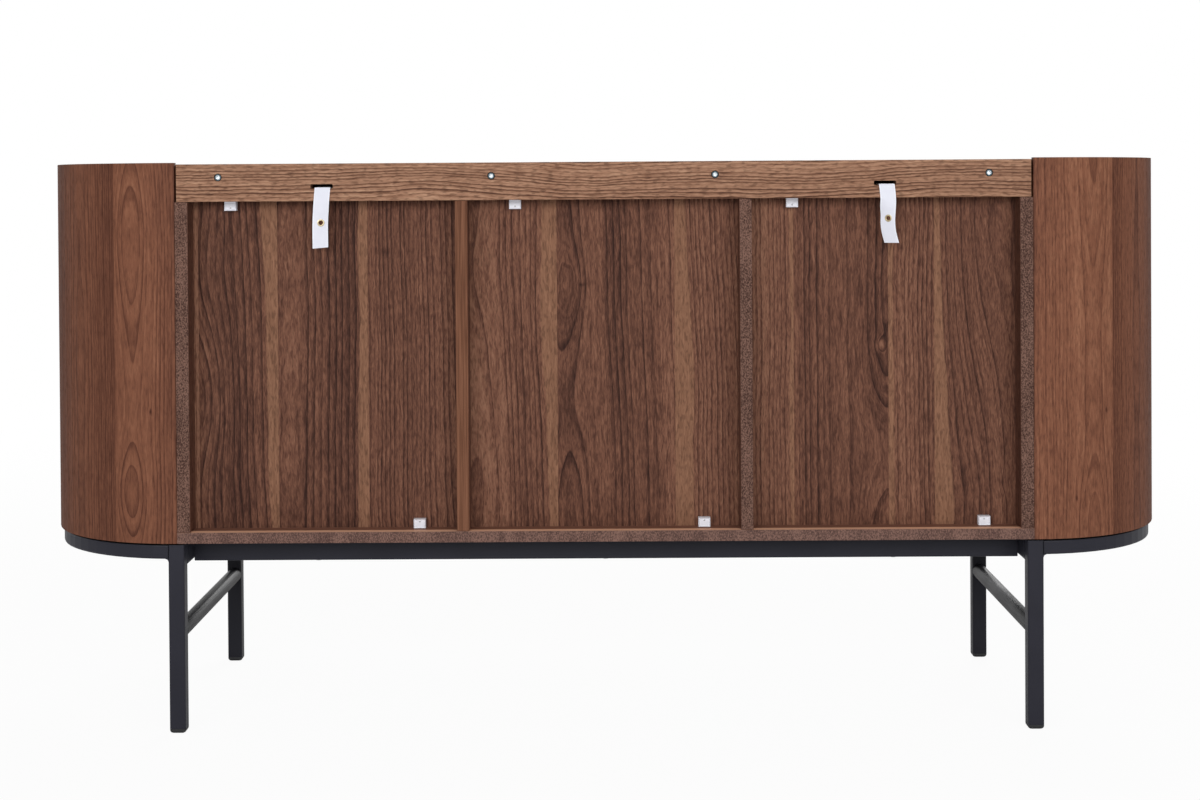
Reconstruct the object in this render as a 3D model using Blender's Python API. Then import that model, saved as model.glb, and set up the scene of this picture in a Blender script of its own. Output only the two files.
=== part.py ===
"""Sideboard with half-round ends, three doors and a welded tube base.

The cupboard is a box of veneered boards: bottom, sides, dividers and ceiling. A bent shell closes
each end, and two rails close the space under the top. The doors turn on pins above and below.
Axes: +X along the width, the doors face -Y, +Z up. The origin is on the floor under the middle.
"""

import math

import bmesh
import bpy
from mathutils import Matrix, Vector

# Overall size in metres
WIDTH = 1.600
DEPTH = 0.420
HEIGHT = 0.785
SEAT = 0.0003           # clearance between pieces that touch or plug together

# Cabinet boards
SIDE_T = 0.018
DIVIDER_T = 0.017
BOTTOM_T = 0.015
CEILING_T = 0.0254      # board over the compartments, with a pocket for each strap
TOP_T = 0.026
RAIL_T = 0.018
RAIL_END_GAP = 0.0025   # dark joint between a rail's end and the shell
RIM = 0.0022            # the shells stand this much above the top
ARRIS = 0.0006          # broken edge of a board
SHARP_ANGLE = 35        # degrees: faces that meet at less are shaded as one curve
CENTRE_BAY = 0.372      # clear width between the dividers

# Half-round ends
SHELL_T = 0.012
SHELL_LIP = 0.003       # straight stretch between a shell's edge and its half circle
END_FACETS = 32

# Back panels, in grooves all round
PANEL_T = 0.005
PANEL_RECESS = 0.035
PANEL_TONGUE = 0.005
CLIP_W = 0.0162
CLIP_H = 0.0124
CLIP_D = 0.010
CLIP_WALL = 0.0025
CLIP_POCKET = 0.0015
CLIP_SCREW_DROP = 0.0025    # from the clip's middle, away from the board it sits against
CLIP_HOLE_R = 0.0013
CLIP_HOLE_BITE = 0.0035     # depth of the screw's hole in the panel

# Bolts of the rear rail, in counterbores
BOLT_END = 0.0575       # from the rail's end to its outer bolts
BOLT_INNER = 0.033      # from the dividers to the inner bolts, towards the middle
BOLT_RISE = 0.0077      # above the underside of the top board
BOLT_HEAD_R = 0.0048
BOLT_HEAD_H = 0.0045
BOLT_CHAMFER = 0.0005
BOLT_SINK = 0.0004
BOLT_R = 0.0030
BOLT_BITE = 0.030       # length in the top board
BOLT_SOCKET = 0.0040    # across the flats
BOLT_SOCKET_D = 0.0030
COUNTERBORE_GAP = 0.0006

# Anti-tip straps
STRAP_OFF = 0.001       # the slots lie this far inside the middles of the end compartments
STRAP_W = 0.0212
STRAP_T = 0.0012
STRAP_BOW = 0.0008      # how far the hanging strap bows away from the rail
STRAP_TAIL = 0.040      # length in the pocket behind the rail
STRAP_RISE = 0.013      # length over which a strap rises to the slot, behind the rail
STRAP_CLEAR = 0.0006
TWIST_GAP = 0.0010      # below the rail's edge, where a strap starts to twist
TWIST_RUN = 0.025       # length over which it twists
SLOT_PLAY = 0.0048      # beside a strap in its slot, on either side
SLOT_W = STRAP_W + 2 * SLOT_PLAY
SLOT_H = 0.006
SLOT_CORNER = 0.0018
SLOT_RISE = 0.0202      # from the rail's underside to the middle of a slot
POCKET_DEPTH = 0.045
EYELET_HOLE_R = 0.0032
EYELET_SIDE = -0.0007   # the eyelets sit this far off the middle of their straps

# Doors
DOOR_T = 0.018
DOOR_GAP = 0.0025
DOOR_RECESS = 0.022     # behind the front edges of the boards
DOOR_ROUND = 0.003      # rounded upright edges, which let the door turn in its gap
PIVOT_EDGE = 0.015      # from the hinge edge to the pin
PIN_R = 0.0030
PIN_DEPTH = 0.012       # in the door
PIN_REACH = 0.008       # in the bottom and in the ceiling
KNOB_EDGE = 0.040       # from the free edge to the knob
KNOB_RISE = 0.285       # above the inside floor
KNOB_R = 0.0125
KNOB_NECK_R = 0.0050
KNOB_BASE_R = 0.0075
KNOB_BASE_H = 0.0015
KNOB_COVE = 0.0021      # height of the cone from the base to the neck
KNOB_HEAD_H = 0.0073
KNOB_PROUD = 0.0195
KNOB_STUD_R = 0.0020
KNOB_STUD = 0.014       # length in the door
CATCH_EDGE = 0.045      # from the free edge to the catch
CATCH_W = 0.040
CATCH_H = 0.013
CATCH_D = 0.016
CATCH_GAP = 0.0008      # from the catch to the closed door, which has a thin plate there

# Shelves
SHELF_T = 0.016
SHELF_RISE = 0.212      # from the inside floor to the shelf's underside
SHELF_HOUSING = 0.005   # depth of its housings in the uprights
SHELF_SETBACK = 0.015   # behind the closed door
SHELF_BACK_GAP = 0.001

# Base frame
BASE_HEIGHT = 0.260
SHADOW_GAP = 0.0027     # between base and body
LEG_W = 0.022
LEG_INSET = 0.005       # behind the body's front and back planes, and inside its ends
TUBE_WALL = 0.0015
TUBE_CORNER = 0.0025
BAND_H = 0.0195
BAND_W = 0.020
BEAM_H = 0.031
BEAM_W = 0.020
LONG_RAIL_H = 0.0345
LONG_RAIL_W = 0.020
LONG_RAIL_INSET = 0.0675
STRETCHER_R = 0.011
STRETCHER_Z = 0.137
GLIDE_H = 0.006
GLIDE_ROUND = 0.0045
PLUG_H = 0.016
FRAME_SCREW_END = 0.174     # from the cross beams to the outer screws of the long rails
FRAME_HOLE_R = 0.0028
FRAME_HOLE_BITE = 0.010
SPACER_R = 0.009

# Levels, from the floor up
BODY_Z = BASE_HEIGHT + SHADOW_GAP
FLOOR_Z = BODY_Z + BOTTOM_T
TOP_Z = HEIGHT - RIM
TOP_UNDER = TOP_Z - TOP_T
CEILING_Z = TOP_UNDER - CEILING_T
SLOT_Z = CEILING_Z + SLOT_RISE
SLOT_FLOOR = SLOT_Z - SLOT_H / 2

# Planes across the width and the depth
BACK = DEPTH / 2
FRONT = -DEPTH / 2
END_X = WIDTH / 2 - DEPTH / 2
SIDE_OUT = END_X - SHELL_LIP
SIDE_IN = SIDE_OUT - SIDE_T
DIVIDER_IN = CENTRE_BAY / 2
DIVIDER_OUT = DIVIDER_IN + DIVIDER_T
RAIL_IN = BACK - RAIL_T
RAIL_END = SIDE_OUT - RAIL_END_GAP
CORE_R = DEPTH / 2 - SHELL_T - SEAT
PANEL_BACK = BACK - PANEL_RECESS
PANEL_FRONT = PANEL_BACK - PANEL_T
DOOR_FACE = FRONT + DOOR_RECESS
DOOR_BACK = DOOR_FACE + DOOR_T
PIVOT_Y = (DOOR_FACE + DOOR_BACK) / 2
LEG_X = END_X
LEG_Y = DEPTH / 2 - LEG_INSET - LEG_W / 2
LEG_IN = LEG_X - LEG_W / 2
BOLT_X = (DIVIDER_IN - BOLT_INNER, RAIL_END - BOLT_END)
BOLT_XS = (-BOLT_X[1], -BOLT_X[0], BOLT_X[0], BOLT_X[1])
STRAP_X = (SIDE_IN + DIVIDER_OUT) / 2 - STRAP_OFF
FRAME_SCREW_XS = (FRAME_SCREW_END - LEG_IN, 0.0, LEG_IN - FRAME_SCREW_END)
SHELF_Z = FLOOR_Z + SHELF_RISE
SHELF_FRONT = DOOR_BACK + SHELF_SETBACK
SHELF_BACK = PANEL_FRONT - SHELF_BACK_GAP

# Each compartment: clear span, side its door hangs on, and how far its top clip and its bottom
# clip sit from the right and the left wall
BAYS = {
    "left": {"span": (-SIDE_IN, -DIVIDER_OUT), "hinge": -1, "clips": (0.0574, 0.0454)},
    "centre": {"span": (-DIVIDER_IN, DIVIDER_IN), "hinge": -1, "clips": (0.0641, 0.0490)},
    "right": {"span": (DIVIDER_OUT, SIDE_IN), "hinge": 1, "clips": (0.0537, 0.0539)},
}
SIDES = {"left": -1, "right": 1}

# How each strap hangs. Drops from the slot's floor to its end and to its eyelet; distances outwards
# by which it lies off the slot's middle, drifts at its end, arches and waves; degrees that its end
# has twisted; and how much higher its inner corner ends.
STRAP_LIES = {
    "left": {"drop": 0.0792, "eyelet": 0.0455, "off": 0.0022, "drift": 0.0057, "arch": -0.0021,
             "wave": 0.0018, "twist": 31, "slant": 0.0},
    "right": {"drop": 0.0821, "eyelet": 0.0474, "off": -0.0013, "drift": 0.0033, "arch": 0.0013,
              "wave": 0.0, "twist": 17, "slant": 0.0015},
}


def linear(red, green, blue):
    """Colour from 0 to 255 values as the linear values that a shader takes."""
    channels = [value / 255 for value in (red, green, blue)]
    return [c / 12.92 if c <= 0.04045 else ((c + 0.055) / 1.055) ** 2.4 for c in channels]


def material(name, colour, roughness, metallic=0.0):
    """Principled material with one colour."""
    made = bpy.data.materials.new(name)
    made.use_nodes = True
    shader = made.node_tree.nodes["Principled BSDF"]
    shader.inputs["Base Color"].default_value = (*linear(*colour), 1.0)
    shader.inputs["Roughness"].default_value = roughness
    shader.inputs["Metallic"].default_value = metallic
    return made


def make(name, bm, mat, parent=None):
    """Turn a bmesh in world coordinates into a named object, held by an empty if one is given."""
    bmesh.ops.remove_doubles(bm, verts=bm.verts, dist=1e-6)
    bmesh.ops.recalc_face_normals(bm, faces=bm.faces)
    if parent is not None:
        bmesh.ops.translate(bm, verts=bm.verts, vec=-parent.location)
    mesh = bpy.data.meshes.new(name)
    bm.to_mesh(mesh)
    bm.free()
    mesh.shade_smooth()
    mesh.set_sharp_from_angle(angle=math.radians(SHARP_ANGLE))
    made = bpy.data.objects.new(name, mesh)
    bpy.context.collection.objects.link(made)
    if mat is not None:
        mesh.materials.append(mat)
    made.parent = parent
    return made


def combine(target, bm, operation):
    """Apply the closed shapes of a bmesh to an object with a Boolean modifier."""
    tool = make(target.name + "_" + operation.lower(), bm, None)
    tool.hide_render = True
    tool.display_type = "WIRE"
    modifier = target.modifiers.new(operation.lower(), "BOOLEAN")
    modifier.operation = operation
    modifier.solver = "EXACT"
    modifier.object = tool


def cut(target, bm):
    """Take shapes out of an object."""
    combine(target, bm, "DIFFERENCE")


def join(target, bm):
    """Join shapes to an object that they reach into."""
    combine(target, bm, "UNION")


def block(bm, x, y, z, arris=0.0):
    """Rectangular block between pairs of planes, with its edges broken by arris."""
    spans = [Vector(pair) for pair in (x, y, z)]
    centre = Vector([sum(pair) / 2 for pair in spans])
    size = Vector([pair[1] - pair[0] for pair in spans])
    place = Matrix.Translation(centre) @ Matrix.Diagonal(size.to_4d())
    verts = bmesh.ops.create_cube(bm, size=1.0, matrix=place)["verts"]
    if arris > 0.0:
        edges = list({edge for vert in verts for edge in vert.link_edges})
        bmesh.ops.bevel(bm, geom=edges, offset=arris, segments=1, affect="EDGES")
    return verts


def bridge(bm, first, second):
    """Join two rings of as many vertices with quads."""
    count = len(first)
    for i in range(count):
        j = (i + 1) % count
        bm.faces.new((first[i], first[j], second[j], second[i]))


def loft(bm, loops):
    """Closed solid through a list of loops, each a list of as many points."""
    rings = [[bm.verts.new(point) for point in loop] for loop in loops]
    for first, second in zip(rings, rings[1:]):
        bridge(bm, first, second)
    bm.faces.new(rings[0])
    bm.faces.new(rings[-1])


def prism(bm, outline, z0, z1):
    """Plan outline extruded from one level to another."""
    face = bm.faces.new([bm.verts.new((x, y, z0)) for x, y in outline])
    grown = bmesh.ops.extrude_face_region(bm, geom=[face])["geom"]
    raised = [item for item in grown if isinstance(item, bmesh.types.BMVert)]
    bmesh.ops.translate(bm, verts=raised, vec=(0, 0, z1 - z0))


def turned(bm, profile, origin, axis, closed=False, sides=16):
    """Turn a profile of (radius, distance along the axis) about an axis through origin."""
    origin = Vector(origin)
    tilt = Vector(axis).to_track_quat("Z", "Y")
    verts = [bm.verts.new(origin + tilt @ Vector((radius, 0, along))) for radius, along in profile]
    edges = [bm.edges.new(pair) for pair in zip(verts, verts[1:])]
    if closed:
        edges.append(bm.edges.new((verts[-1], verts[0])))
    bmesh.ops.spin(bm, geom=verts + edges, cent=origin, axis=axis, angle=math.tau,
                   steps=sides, use_merge=True)


def cylinder(bm, radius, start, end, sides=16):
    """Plain round bar between two points."""
    start = Vector(start)
    along = Vector(end) - start
    profile = [(0, 0), (radius, 0), (radius, along.length), (0, along.length)]
    turned(bm, profile, start, along.normalized(), sides=sides)


def arc(centre, radius, start, end, steps):
    """Points on a circle between two angles in degrees."""
    points = []
    for i in range(steps + 1):
        angle = math.radians(start + (end - start) * i / steps)
        points.append((centre[0] + radius * math.cos(angle), centre[1] + radius * math.sin(angle)))
    return points


def rounded_rect(width, height, radius, steps=2):
    """Points of a rectangle with round corners, about its middle."""
    points = []
    corners = ((1, -1, -90), (1, 1, 0), (-1, 1, 90), (-1, -1, 180))
    for side_u, side_v, start in corners:
        centre = (side_u * (width / 2 - radius), side_v * (height / 2 - radius))
        points += arc(centre, radius, start, start + 90, steps)
    return points


def circle(radius, sides=24):
    """Points of a circle about its middle."""
    return arc((0, 0), radius, 0, 360 - 360 / sides, sides - 1)


def tube(bm, outer, inner, stations):
    """Hollow section, open at both ends, through stations that place its (u, v) points."""
    walls = []
    for section in (outer, inner):
        rings = [[bm.verts.new(place(u, v)) for u, v in section] for place in stations]
        for first, second in zip(rings, rings[1:]):
            bridge(bm, first, second)
        walls.append(rings)
    for end in (0, -1):
        bridge(bm, walls[0][end], walls[1][end])


def square_section(width, height):
    """Outer and inner outlines of the rectangular tube that the base is welded from."""
    outer = rounded_rect(width, height, TUBE_CORNER)
    inner_r = TUBE_CORNER - TUBE_WALL / 2
    inner = rounded_rect(width - 2 * TUBE_WALL, height - 2 * TUBE_WALL, inner_r)
    return outer, inner


def straight(start, side, up, length_axis, length):
    """Two stations of a straight run: section axes side and up, then a length along an axis."""
    start = Vector(start)
    side = Vector(side)
    up = Vector(up)
    run = Vector(length_axis) * length
    return [lambda u, v: start + side * u + up * v,
            lambda u, v: start + side * u + up * v + run]


# Boards of the cabinet

def core_outline(half_depth):
    """Plan of a board with straight edges at half_depth and half-round ends inside the shells."""
    end = [(SIDE_OUT, -half_depth), (SIDE_OUT, -CORE_R)]
    end += arc((END_X, 0), CORE_R, -90, 90, END_FACETS)
    end += [(SIDE_OUT, CORE_R), (SIDE_OUT, half_depth)]
    return end + [(-x, -y) for x, y in end]


def panel_room(bm, span):
    """Room for one back panel: its tongues in the boards all round, with clearance."""
    reach = PANEL_TONGUE + SEAT
    block(bm, (span[0] - reach, span[1] + reach), (PANEL_FRONT - SEAT, PANEL_BACK + SEAT),
          (FLOOR_Z - reach, CEILING_Z + reach))


def shelf_room(bm, span):
    """Room for one shelf: its ends in housings in the uprights, with clearance."""
    reach = SHELF_HOUSING + SEAT
    block(bm, (span[0] - reach, span[1] + reach), (SHELF_FRONT - SEAT, SHELF_BACK + SEAT),
          (SHELF_Z - SEAT, SHELF_Z + SHELF_T + SEAT))


def free_edge(bay):
    """Edge of a bay's door away from its hinge, and the direction from there into the door."""
    hinge = bay["hinge"]
    wall = bay["span"][0] if hinge > 0 else bay["span"][1]
    return wall + hinge * DOOR_GAP, hinge


def pivot_x(bay):
    """Place of a door's pins across the width."""
    hinge = bay["hinge"]
    wall = bay["span"][1] if hinge > 0 else bay["span"][0]
    return wall - hinge * (DOOR_GAP + PIVOT_EDGE)


def pin_hole(bm, bay, level, up):
    """Blind hole for a door's pin, from a level upwards or downwards."""
    depth = PIN_REACH + SEAT
    start = (pivot_x(bay), PIVOT_Y, level - up * depth)
    end = (pivot_x(bay), PIVOT_Y, level + up * depth)
    cylinder(bm, PIN_R + SEAT, start, end)


def make_bottom(wood):
    """Bottom board: seats the panels and the lower pins, and takes the screws of the base."""
    bm = bmesh.new()
    prism(bm, core_outline(BACK), BODY_Z, FLOOR_Z)
    board = make("bottom_board", bm, wood)
    rooms = bmesh.new()
    for bay in BAYS.values():
        panel_room(rooms, bay["span"])
        pin_hole(rooms, bay, FLOOR_Z, -1)
    for x, y in frame_screw_places():
        top = BODY_Z + FRAME_HOLE_BITE
        cylinder(rooms, FRAME_HOLE_R, (x, y, BODY_Z - BOTTOM_T), (x, y, top))
    cut(board, rooms)


def make_ceiling(wood):
    """Thick board over the compartments, with a pocket behind each strap slot."""
    bm = bmesh.new()
    prism(bm, core_outline(RAIL_IN - SEAT), CEILING_Z, TOP_UNDER - SEAT)
    board = make("ceiling_board", bm, wood)
    rooms = bmesh.new()
    for bay in BAYS.values():
        panel_room(rooms, bay["span"])
        pin_hole(rooms, bay, CEILING_Z, 1)
    for side in SIDES.values():
        x = side * STRAP_X
        block(rooms, (x - SLOT_W / 2, x + SLOT_W / 2), (RAIL_IN - POCKET_DEPTH, BACK),
              (SLOT_FLOOR, TOP_UNDER + SEAT))
    cut(board, rooms)


def make_top(wood):
    """Top board between the rails: its half-round ends carry the upper edges of the shells."""
    bm = bmesh.new()
    prism(bm, core_outline(RAIL_IN - SEAT), TOP_UNDER, TOP_Z)
    board = make("top_board", bm, wood)
    holes = bmesh.new()
    for x in BOLT_XS:
        z = TOP_UNDER + BOLT_RISE
        deep = RAIL_IN - BOLT_BITE - SEAT
        cylinder(holes, BOLT_R + SEAT, (x, deep, z), (x, BACK, z))
    cut(board, holes)


def make_uprights(wood):
    """Sides and dividers, with grooves for the back panels and housings for the shelves."""
    spans = {
        "side_left": (-SIDE_OUT, -SIDE_IN),
        "side_right": (SIDE_IN, SIDE_OUT),
        "divider_left": (-DIVIDER_OUT, -DIVIDER_IN),
        "divider_right": (DIVIDER_IN, DIVIDER_OUT),
    }
    for name, (x0, x1) in spans.items():
        bm = bmesh.new()
        block(bm, (x0, x1), (FRONT, BACK), (FLOOR_Z + SEAT, CEILING_Z - SEAT), ARRIS)
        board = make(name, bm, wood)
        rooms = bmesh.new()
        for bay in BAYS.values():
            if any(x0 <= wall <= x1 for wall in bay["span"]):
                panel_room(rooms, bay["span"])
                shelf_room(rooms, bay["span"])
        cut(board, rooms)


def make_shelves(wood):
    """One shelf in each compartment, its ends in the housings of the uprights."""
    for name, bay in BAYS.items():
        x0, x1 = bay["span"]
        bm = bmesh.new()
        block(bm, (x0 - SHELF_HOUSING, x1 + SHELF_HOUSING), (SHELF_FRONT, SHELF_BACK),
              (SHELF_Z, SHELF_Z + SHELF_T), ARRIS)
        make("shelf_" + name, bm, wood)


def make_rails(wood):
    """Front and rear rails round the edge of the top; the rear one is bolted on and slotted."""
    for name, side in (("front_top_rail", -1), ("rear_top_rail", 1)):
        bm = bmesh.new()
        depth = sorted((side * RAIL_IN, side * BACK))
        block(bm, (-RAIL_END, RAIL_END), depth, (CEILING_Z, TOP_Z), ARRIS)
        rail = make(name, bm, wood)
        if side > 0:
            cut(rail, rear_rail_openings())


def rear_rail_openings():
    """Counterbored bolt holes and strap slots of the rear rail."""
    bm = bmesh.new()
    bore = BOLT_HEAD_R + COUNTERBORE_GAP
    seat = BOLT_SINK + BOLT_HEAD_H + SEAT
    through = RAIL_T * 1.5
    profile = [(0, -RAIL_T / 2), (bore, -RAIL_T / 2), (bore, seat), (BOLT_R + SEAT, seat),
               (BOLT_R + SEAT, through), (0, through)]
    for x in BOLT_XS:
        turned(bm, profile, (x, BACK, TOP_UNDER + BOLT_RISE), (0, -1, 0))
    for side in SIDES.values():
        outline = rounded_rect(SLOT_W, SLOT_H, SLOT_CORNER, steps=5)
        loops = [[(side * STRAP_X + u, y, SLOT_Z + v) for u, v in outline]
                 for y in (RAIL_IN - RAIL_T / 2, BACK + RAIL_T / 2)]
        loft(bm, loops)
    return bm


def make_shells(wood):
    """Bent shells: a straight lip at each edge and a half circle between them."""
    edge = SIDE_OUT + SEAT
    for name, side in SIDES.items():
        walls = []
        for radius in (BACK, BACK - SHELL_T):
            points = [(edge, -radius)] + arc((END_X, 0), radius, -90, 90, END_FACETS)
            walls.append([(side * x, y) for x, y in points + [(edge, radius)]])
        bm = bmesh.new()
        rings = [[bm.verts.new((x, y, z)) for x, y in wall]
                 for wall, z in zip(walls + walls[::-1], (BODY_Z, BODY_Z, HEIGHT, HEIGHT))]
        for i in range(len(walls[0]) - 1):
            for lower, upper in zip(rings, rings[1:] + rings[:1]):
                bm.faces.new((lower[i], lower[i + 1], upper[i + 1], upper[i]))
        for end in (0, -1):
            bm.faces.new([ring[end] for ring in rings])
        make("end_shell_" + name, bm, wood)


# Back panels and their clips

def clip_places(bay):
    """Middle of a bay's clips: the level each sits against, and the direction away from it."""
    top_inset, bottom_inset = bay["clips"]
    return {
        "top": (bay["span"][1] - top_inset, CEILING_Z, -1),
        "bottom": (bay["span"][0] + bottom_inset, FLOOR_Z, 1),
    }


def clip_hole(bm, place):
    """Hole for a clip's screw, through the clip and part of the way through the panel."""
    x, level, away = place
    z = level + away * (SEAT + CLIP_H / 2 + CLIP_SCREW_DROP)
    cylinder(bm, CLIP_HOLE_R, (x, PANEL_BACK - CLIP_HOLE_BITE, z),
             (x, PANEL_BACK + 2 * CLIP_D, z), sides=10)


def make_panels(wood):
    """Three thin panels, each with a tongue in the grooves all round."""
    for name, bay in BAYS.items():
        x0, x1 = bay["span"]
        bm = bmesh.new()
        block(bm, (x0 - PANEL_TONGUE, x1 + PANEL_TONGUE), (PANEL_FRONT, PANEL_BACK),
              (FLOOR_Z - PANEL_TONGUE, CEILING_Z + PANEL_TONGUE))
        panel = make("back_panel_" + name, bm, wood)
        holes = bmesh.new()
        for place in clip_places(bay).values():
            clip_hole(holes, place)
        cut(panel, holes)


def make_clips(plastic):
    """Moulded clips that hold the panels from behind: a block with a sunk face, bored."""
    outer = PANEL_BACK + SEAT + CLIP_D
    for name, bay in BAYS.items():
        for end, place in clip_places(bay).items():
            x, level, away = place
            bm = bmesh.new()
            z_span = sorted((level + away * SEAT, level + away * (SEAT + CLIP_H)))
            block(bm, (x - CLIP_W / 2, x + CLIP_W / 2), (PANEL_BACK + SEAT, outer), z_span)
            back = [face for face in bm.faces if face.calc_center_median().y > outer - SEAT]
            bmesh.ops.inset_region(bm, faces=back, thickness=CLIP_WALL)
            bmesh.ops.translate(bm, verts=back[0].verts, vec=(0, -CLIP_POCKET, 0))
            clip = make("clip_" + end + "_" + name, bm, plastic)
            hole = bmesh.new()
            clip_hole(hole, place)
            cut(clip, hole)


# Bolts and straps in the rear rail

def make_rail_bolts(metal):
    """Hex-socket bolts, sunk just below the face of the rear rail."""
    z = TOP_UNDER + BOLT_RISE
    head = BACK - BOLT_SINK
    length = RAIL_T - BOLT_SINK + BOLT_BITE
    profile = [(0, 0), (BOLT_HEAD_R - BOLT_CHAMFER, 0), (BOLT_HEAD_R, BOLT_CHAMFER),
               (BOLT_HEAD_R, BOLT_HEAD_H), (BOLT_R, BOLT_HEAD_H), (BOLT_R, length - BOLT_R / 2),
               (BOLT_R / 2, length), (0, length)]
    for number, x in enumerate(BOLT_XS, start=1):
        bm = bmesh.new()
        turned(bm, profile, (x, head, z), (0, -1, 0))
        bolt = make("rail_bolt_" + str(number), bm, metal)
        socket = bmesh.new()
        cylinder(socket, BOLT_SOCKET / math.sqrt(3), (x, head - BOLT_SOCKET_D, z),
                 (x, BACK, z), sides=6)
        cut(bolt, socket)


def strap_line(lie):
    """Side view of a strap's middle: (y, z, drop below the slot's floor) from tail to end."""
    half = STRAP_T / 2
    flat = SLOT_FLOOR + SEAT + half
    turn = STRAP_CLEAR + half
    line = [(RAIL_IN - STRAP_TAIL, flat, 0), (RAIL_IN - STRAP_RISE, flat, 0),
            (RAIL_IN, SLOT_FLOOR + turn, 0), (BACK, SLOT_FLOOR + turn, 0)]
    line += [(y, z, 0) for y, z in arc((BACK, SLOT_FLOOR), turn, 60, 0, 2)]
    steps = 14
    for i in range(1, steps + 1):
        drop = lie["drop"] * i / steps
        line.append((BACK + turn + strap_bow(lie, drop), SLOT_FLOOR - drop, drop))
    return line


def strap_bow(lie, drop):
    """Distance by which the hanging strap stands off, at a drop below the slot's floor."""
    return STRAP_BOW * math.sin(math.pi * drop / lie["drop"]) ** 2


def strap_section(name, y, z, drop, off):
    """Four corners of a strap at a point of its line; its inner edge twists towards the panel."""
    side = SIDES[name]
    lie = STRAP_LIES[name]
    below = drop - (SLOT_FLOOR - CEILING_Z) - TWIST_GAP
    turned_by = min(max(below / TWIST_RUN, 0), 1)
    angle = math.radians(lie["twist"]) * turned_by ** 2 * (3 - 2 * turned_by)
    share = drop / lie["drop"]
    lean = lie["off"] + lie["drift"] * share + lie["arch"] * math.sin(math.pi * share)
    lean += lie["wave"] * math.sin(math.tau * share)
    outer = Vector((side * (STRAP_X + STRAP_W / 2 + lean), y, z))
    across = Vector((-side * math.cos(angle), -math.sin(angle), 0)) * STRAP_W
    inner = outer + across + Vector((0, 0, lie["slant"] * share))
    face = Vector((-side * math.sin(angle) * off.x, math.cos(angle) * off.x, off.y)) * STRAP_T / 2
    return [outer + face, inner + face, inner - face, outer - face]


def make_straps(webbing):
    """Webbing straps: their tails in the pockets, out through the slots and down the back."""
    for name, lie in STRAP_LIES.items():
        line = strap_line(lie)
        loops = []
        for i, (y, z, drop) in enumerate(line):
            before = line[max(i - 1, 0)]
            after = line[min(i + 1, len(line) - 1)]
            along = Vector((after[0] - before[0], after[1] - before[1])).normalized()
            loops.append(strap_section(name, y, z, drop, Vector((-along.y, along.x))))
        bm = bmesh.new()
        loft(bm, loops)
        strap = make("anti_tip_strap_" + name, bm, webbing)
        drop = lie["eyelet"]
        y = BACK + STRAP_CLEAR + STRAP_T / 2 + strap_bow(lie, drop)
        corners = strap_section(name, y, SLOT_FLOOR - drop, drop, Vector((1, 0)))
        middle = sum(corners, Vector()) / 4 + Vector((EYELET_SIDE, 0, 0))
        through = (corners[0] - corners[3]).normalized() * STRAP_W
        hole = bmesh.new()
        cylinder(hole, EYELET_HOLE_R, middle - through, middle + through)
        cut(strap, hole)


# Doors

def make_doors(wood, black, steel):
    """Doors on upright pins, with their knobs, and the catches that hold them shut."""
    for name, bay in BAYS.items():
        axis = bpy.data.objects.new("door_" + name + "_axis", None)
        axis.location = (pivot_x(bay), PIVOT_Y, 0)
        bpy.context.collection.objects.link(axis)
        make_door(name, bay, wood, axis)
        make_pins(name, bay, steel, axis)
        make_knob(name, bay, black, axis)
        make_catch(name, bay, steel)


def knob_place(bay):
    """Position of a door's knob across the width and above the floor."""
    edge, inward = free_edge(bay)
    return edge + inward * KNOB_EDGE, FLOOR_Z + KNOB_RISE


def make_door(name, bay, wood, axis):
    """Door leaf with rounded upright edges, bored for its pins and for the knob's stud."""
    x0, x1 = bay["span"]
    z0 = FLOOR_Z + DOOR_GAP
    z1 = CEILING_Z - DOOR_GAP
    bm = bmesh.new()
    block(bm, (x0 + DOOR_GAP, x1 - DOOR_GAP), (DOOR_FACE, DOOR_BACK), (z0, z1))
    upright = [edge for edge in bm.edges if edge.calc_length() > (z1 - z0) * 0.999
               and abs(edge.verts[0].co.z - edge.verts[1].co.z) > DOOR_T]
    bmesh.ops.bevel(bm, geom=upright, offset=DOOR_ROUND, segments=4, affect="EDGES", profile=0.5)
    door = make("door_" + name, bm, wood, axis)
    holes = bmesh.new()
    x = pivot_x(bay)
    for level, up in ((z0, 1), (z1, -1)):
        deep = level + up * (PIN_DEPTH + SEAT)
        cylinder(holes, PIN_R + SEAT, (x, PIVOT_Y, level - up * DOOR_GAP), (x, PIVOT_Y, deep))
    x, z = knob_place(bay)
    deep = DOOR_FACE + KNOB_STUD + SEAT
    cylinder(holes, KNOB_STUD_R + SEAT, (x, DOOR_FACE - DOOR_T, z), (x, deep, z))
    cut(door, holes)


def make_pins(name, bay, steel, axis):
    """Pivot pins, fast in the door's ends, that turn in the bottom and in the ceiling."""
    x = pivot_x(bay)
    for end, level, up in (("lower", FLOOR_Z, 1), ("upper", CEILING_Z, -1)):
        bm = bmesh.new()
        tip = level - up * (PIN_REACH - SEAT)
        inner = level + up * (DOOR_GAP + PIN_DEPTH)
        cylinder(bm, PIN_R, (x, PIVOT_Y, tip), (x, PIVOT_Y, inner))
        make(end + "_pin_" + name, bm, steel, axis)


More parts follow.
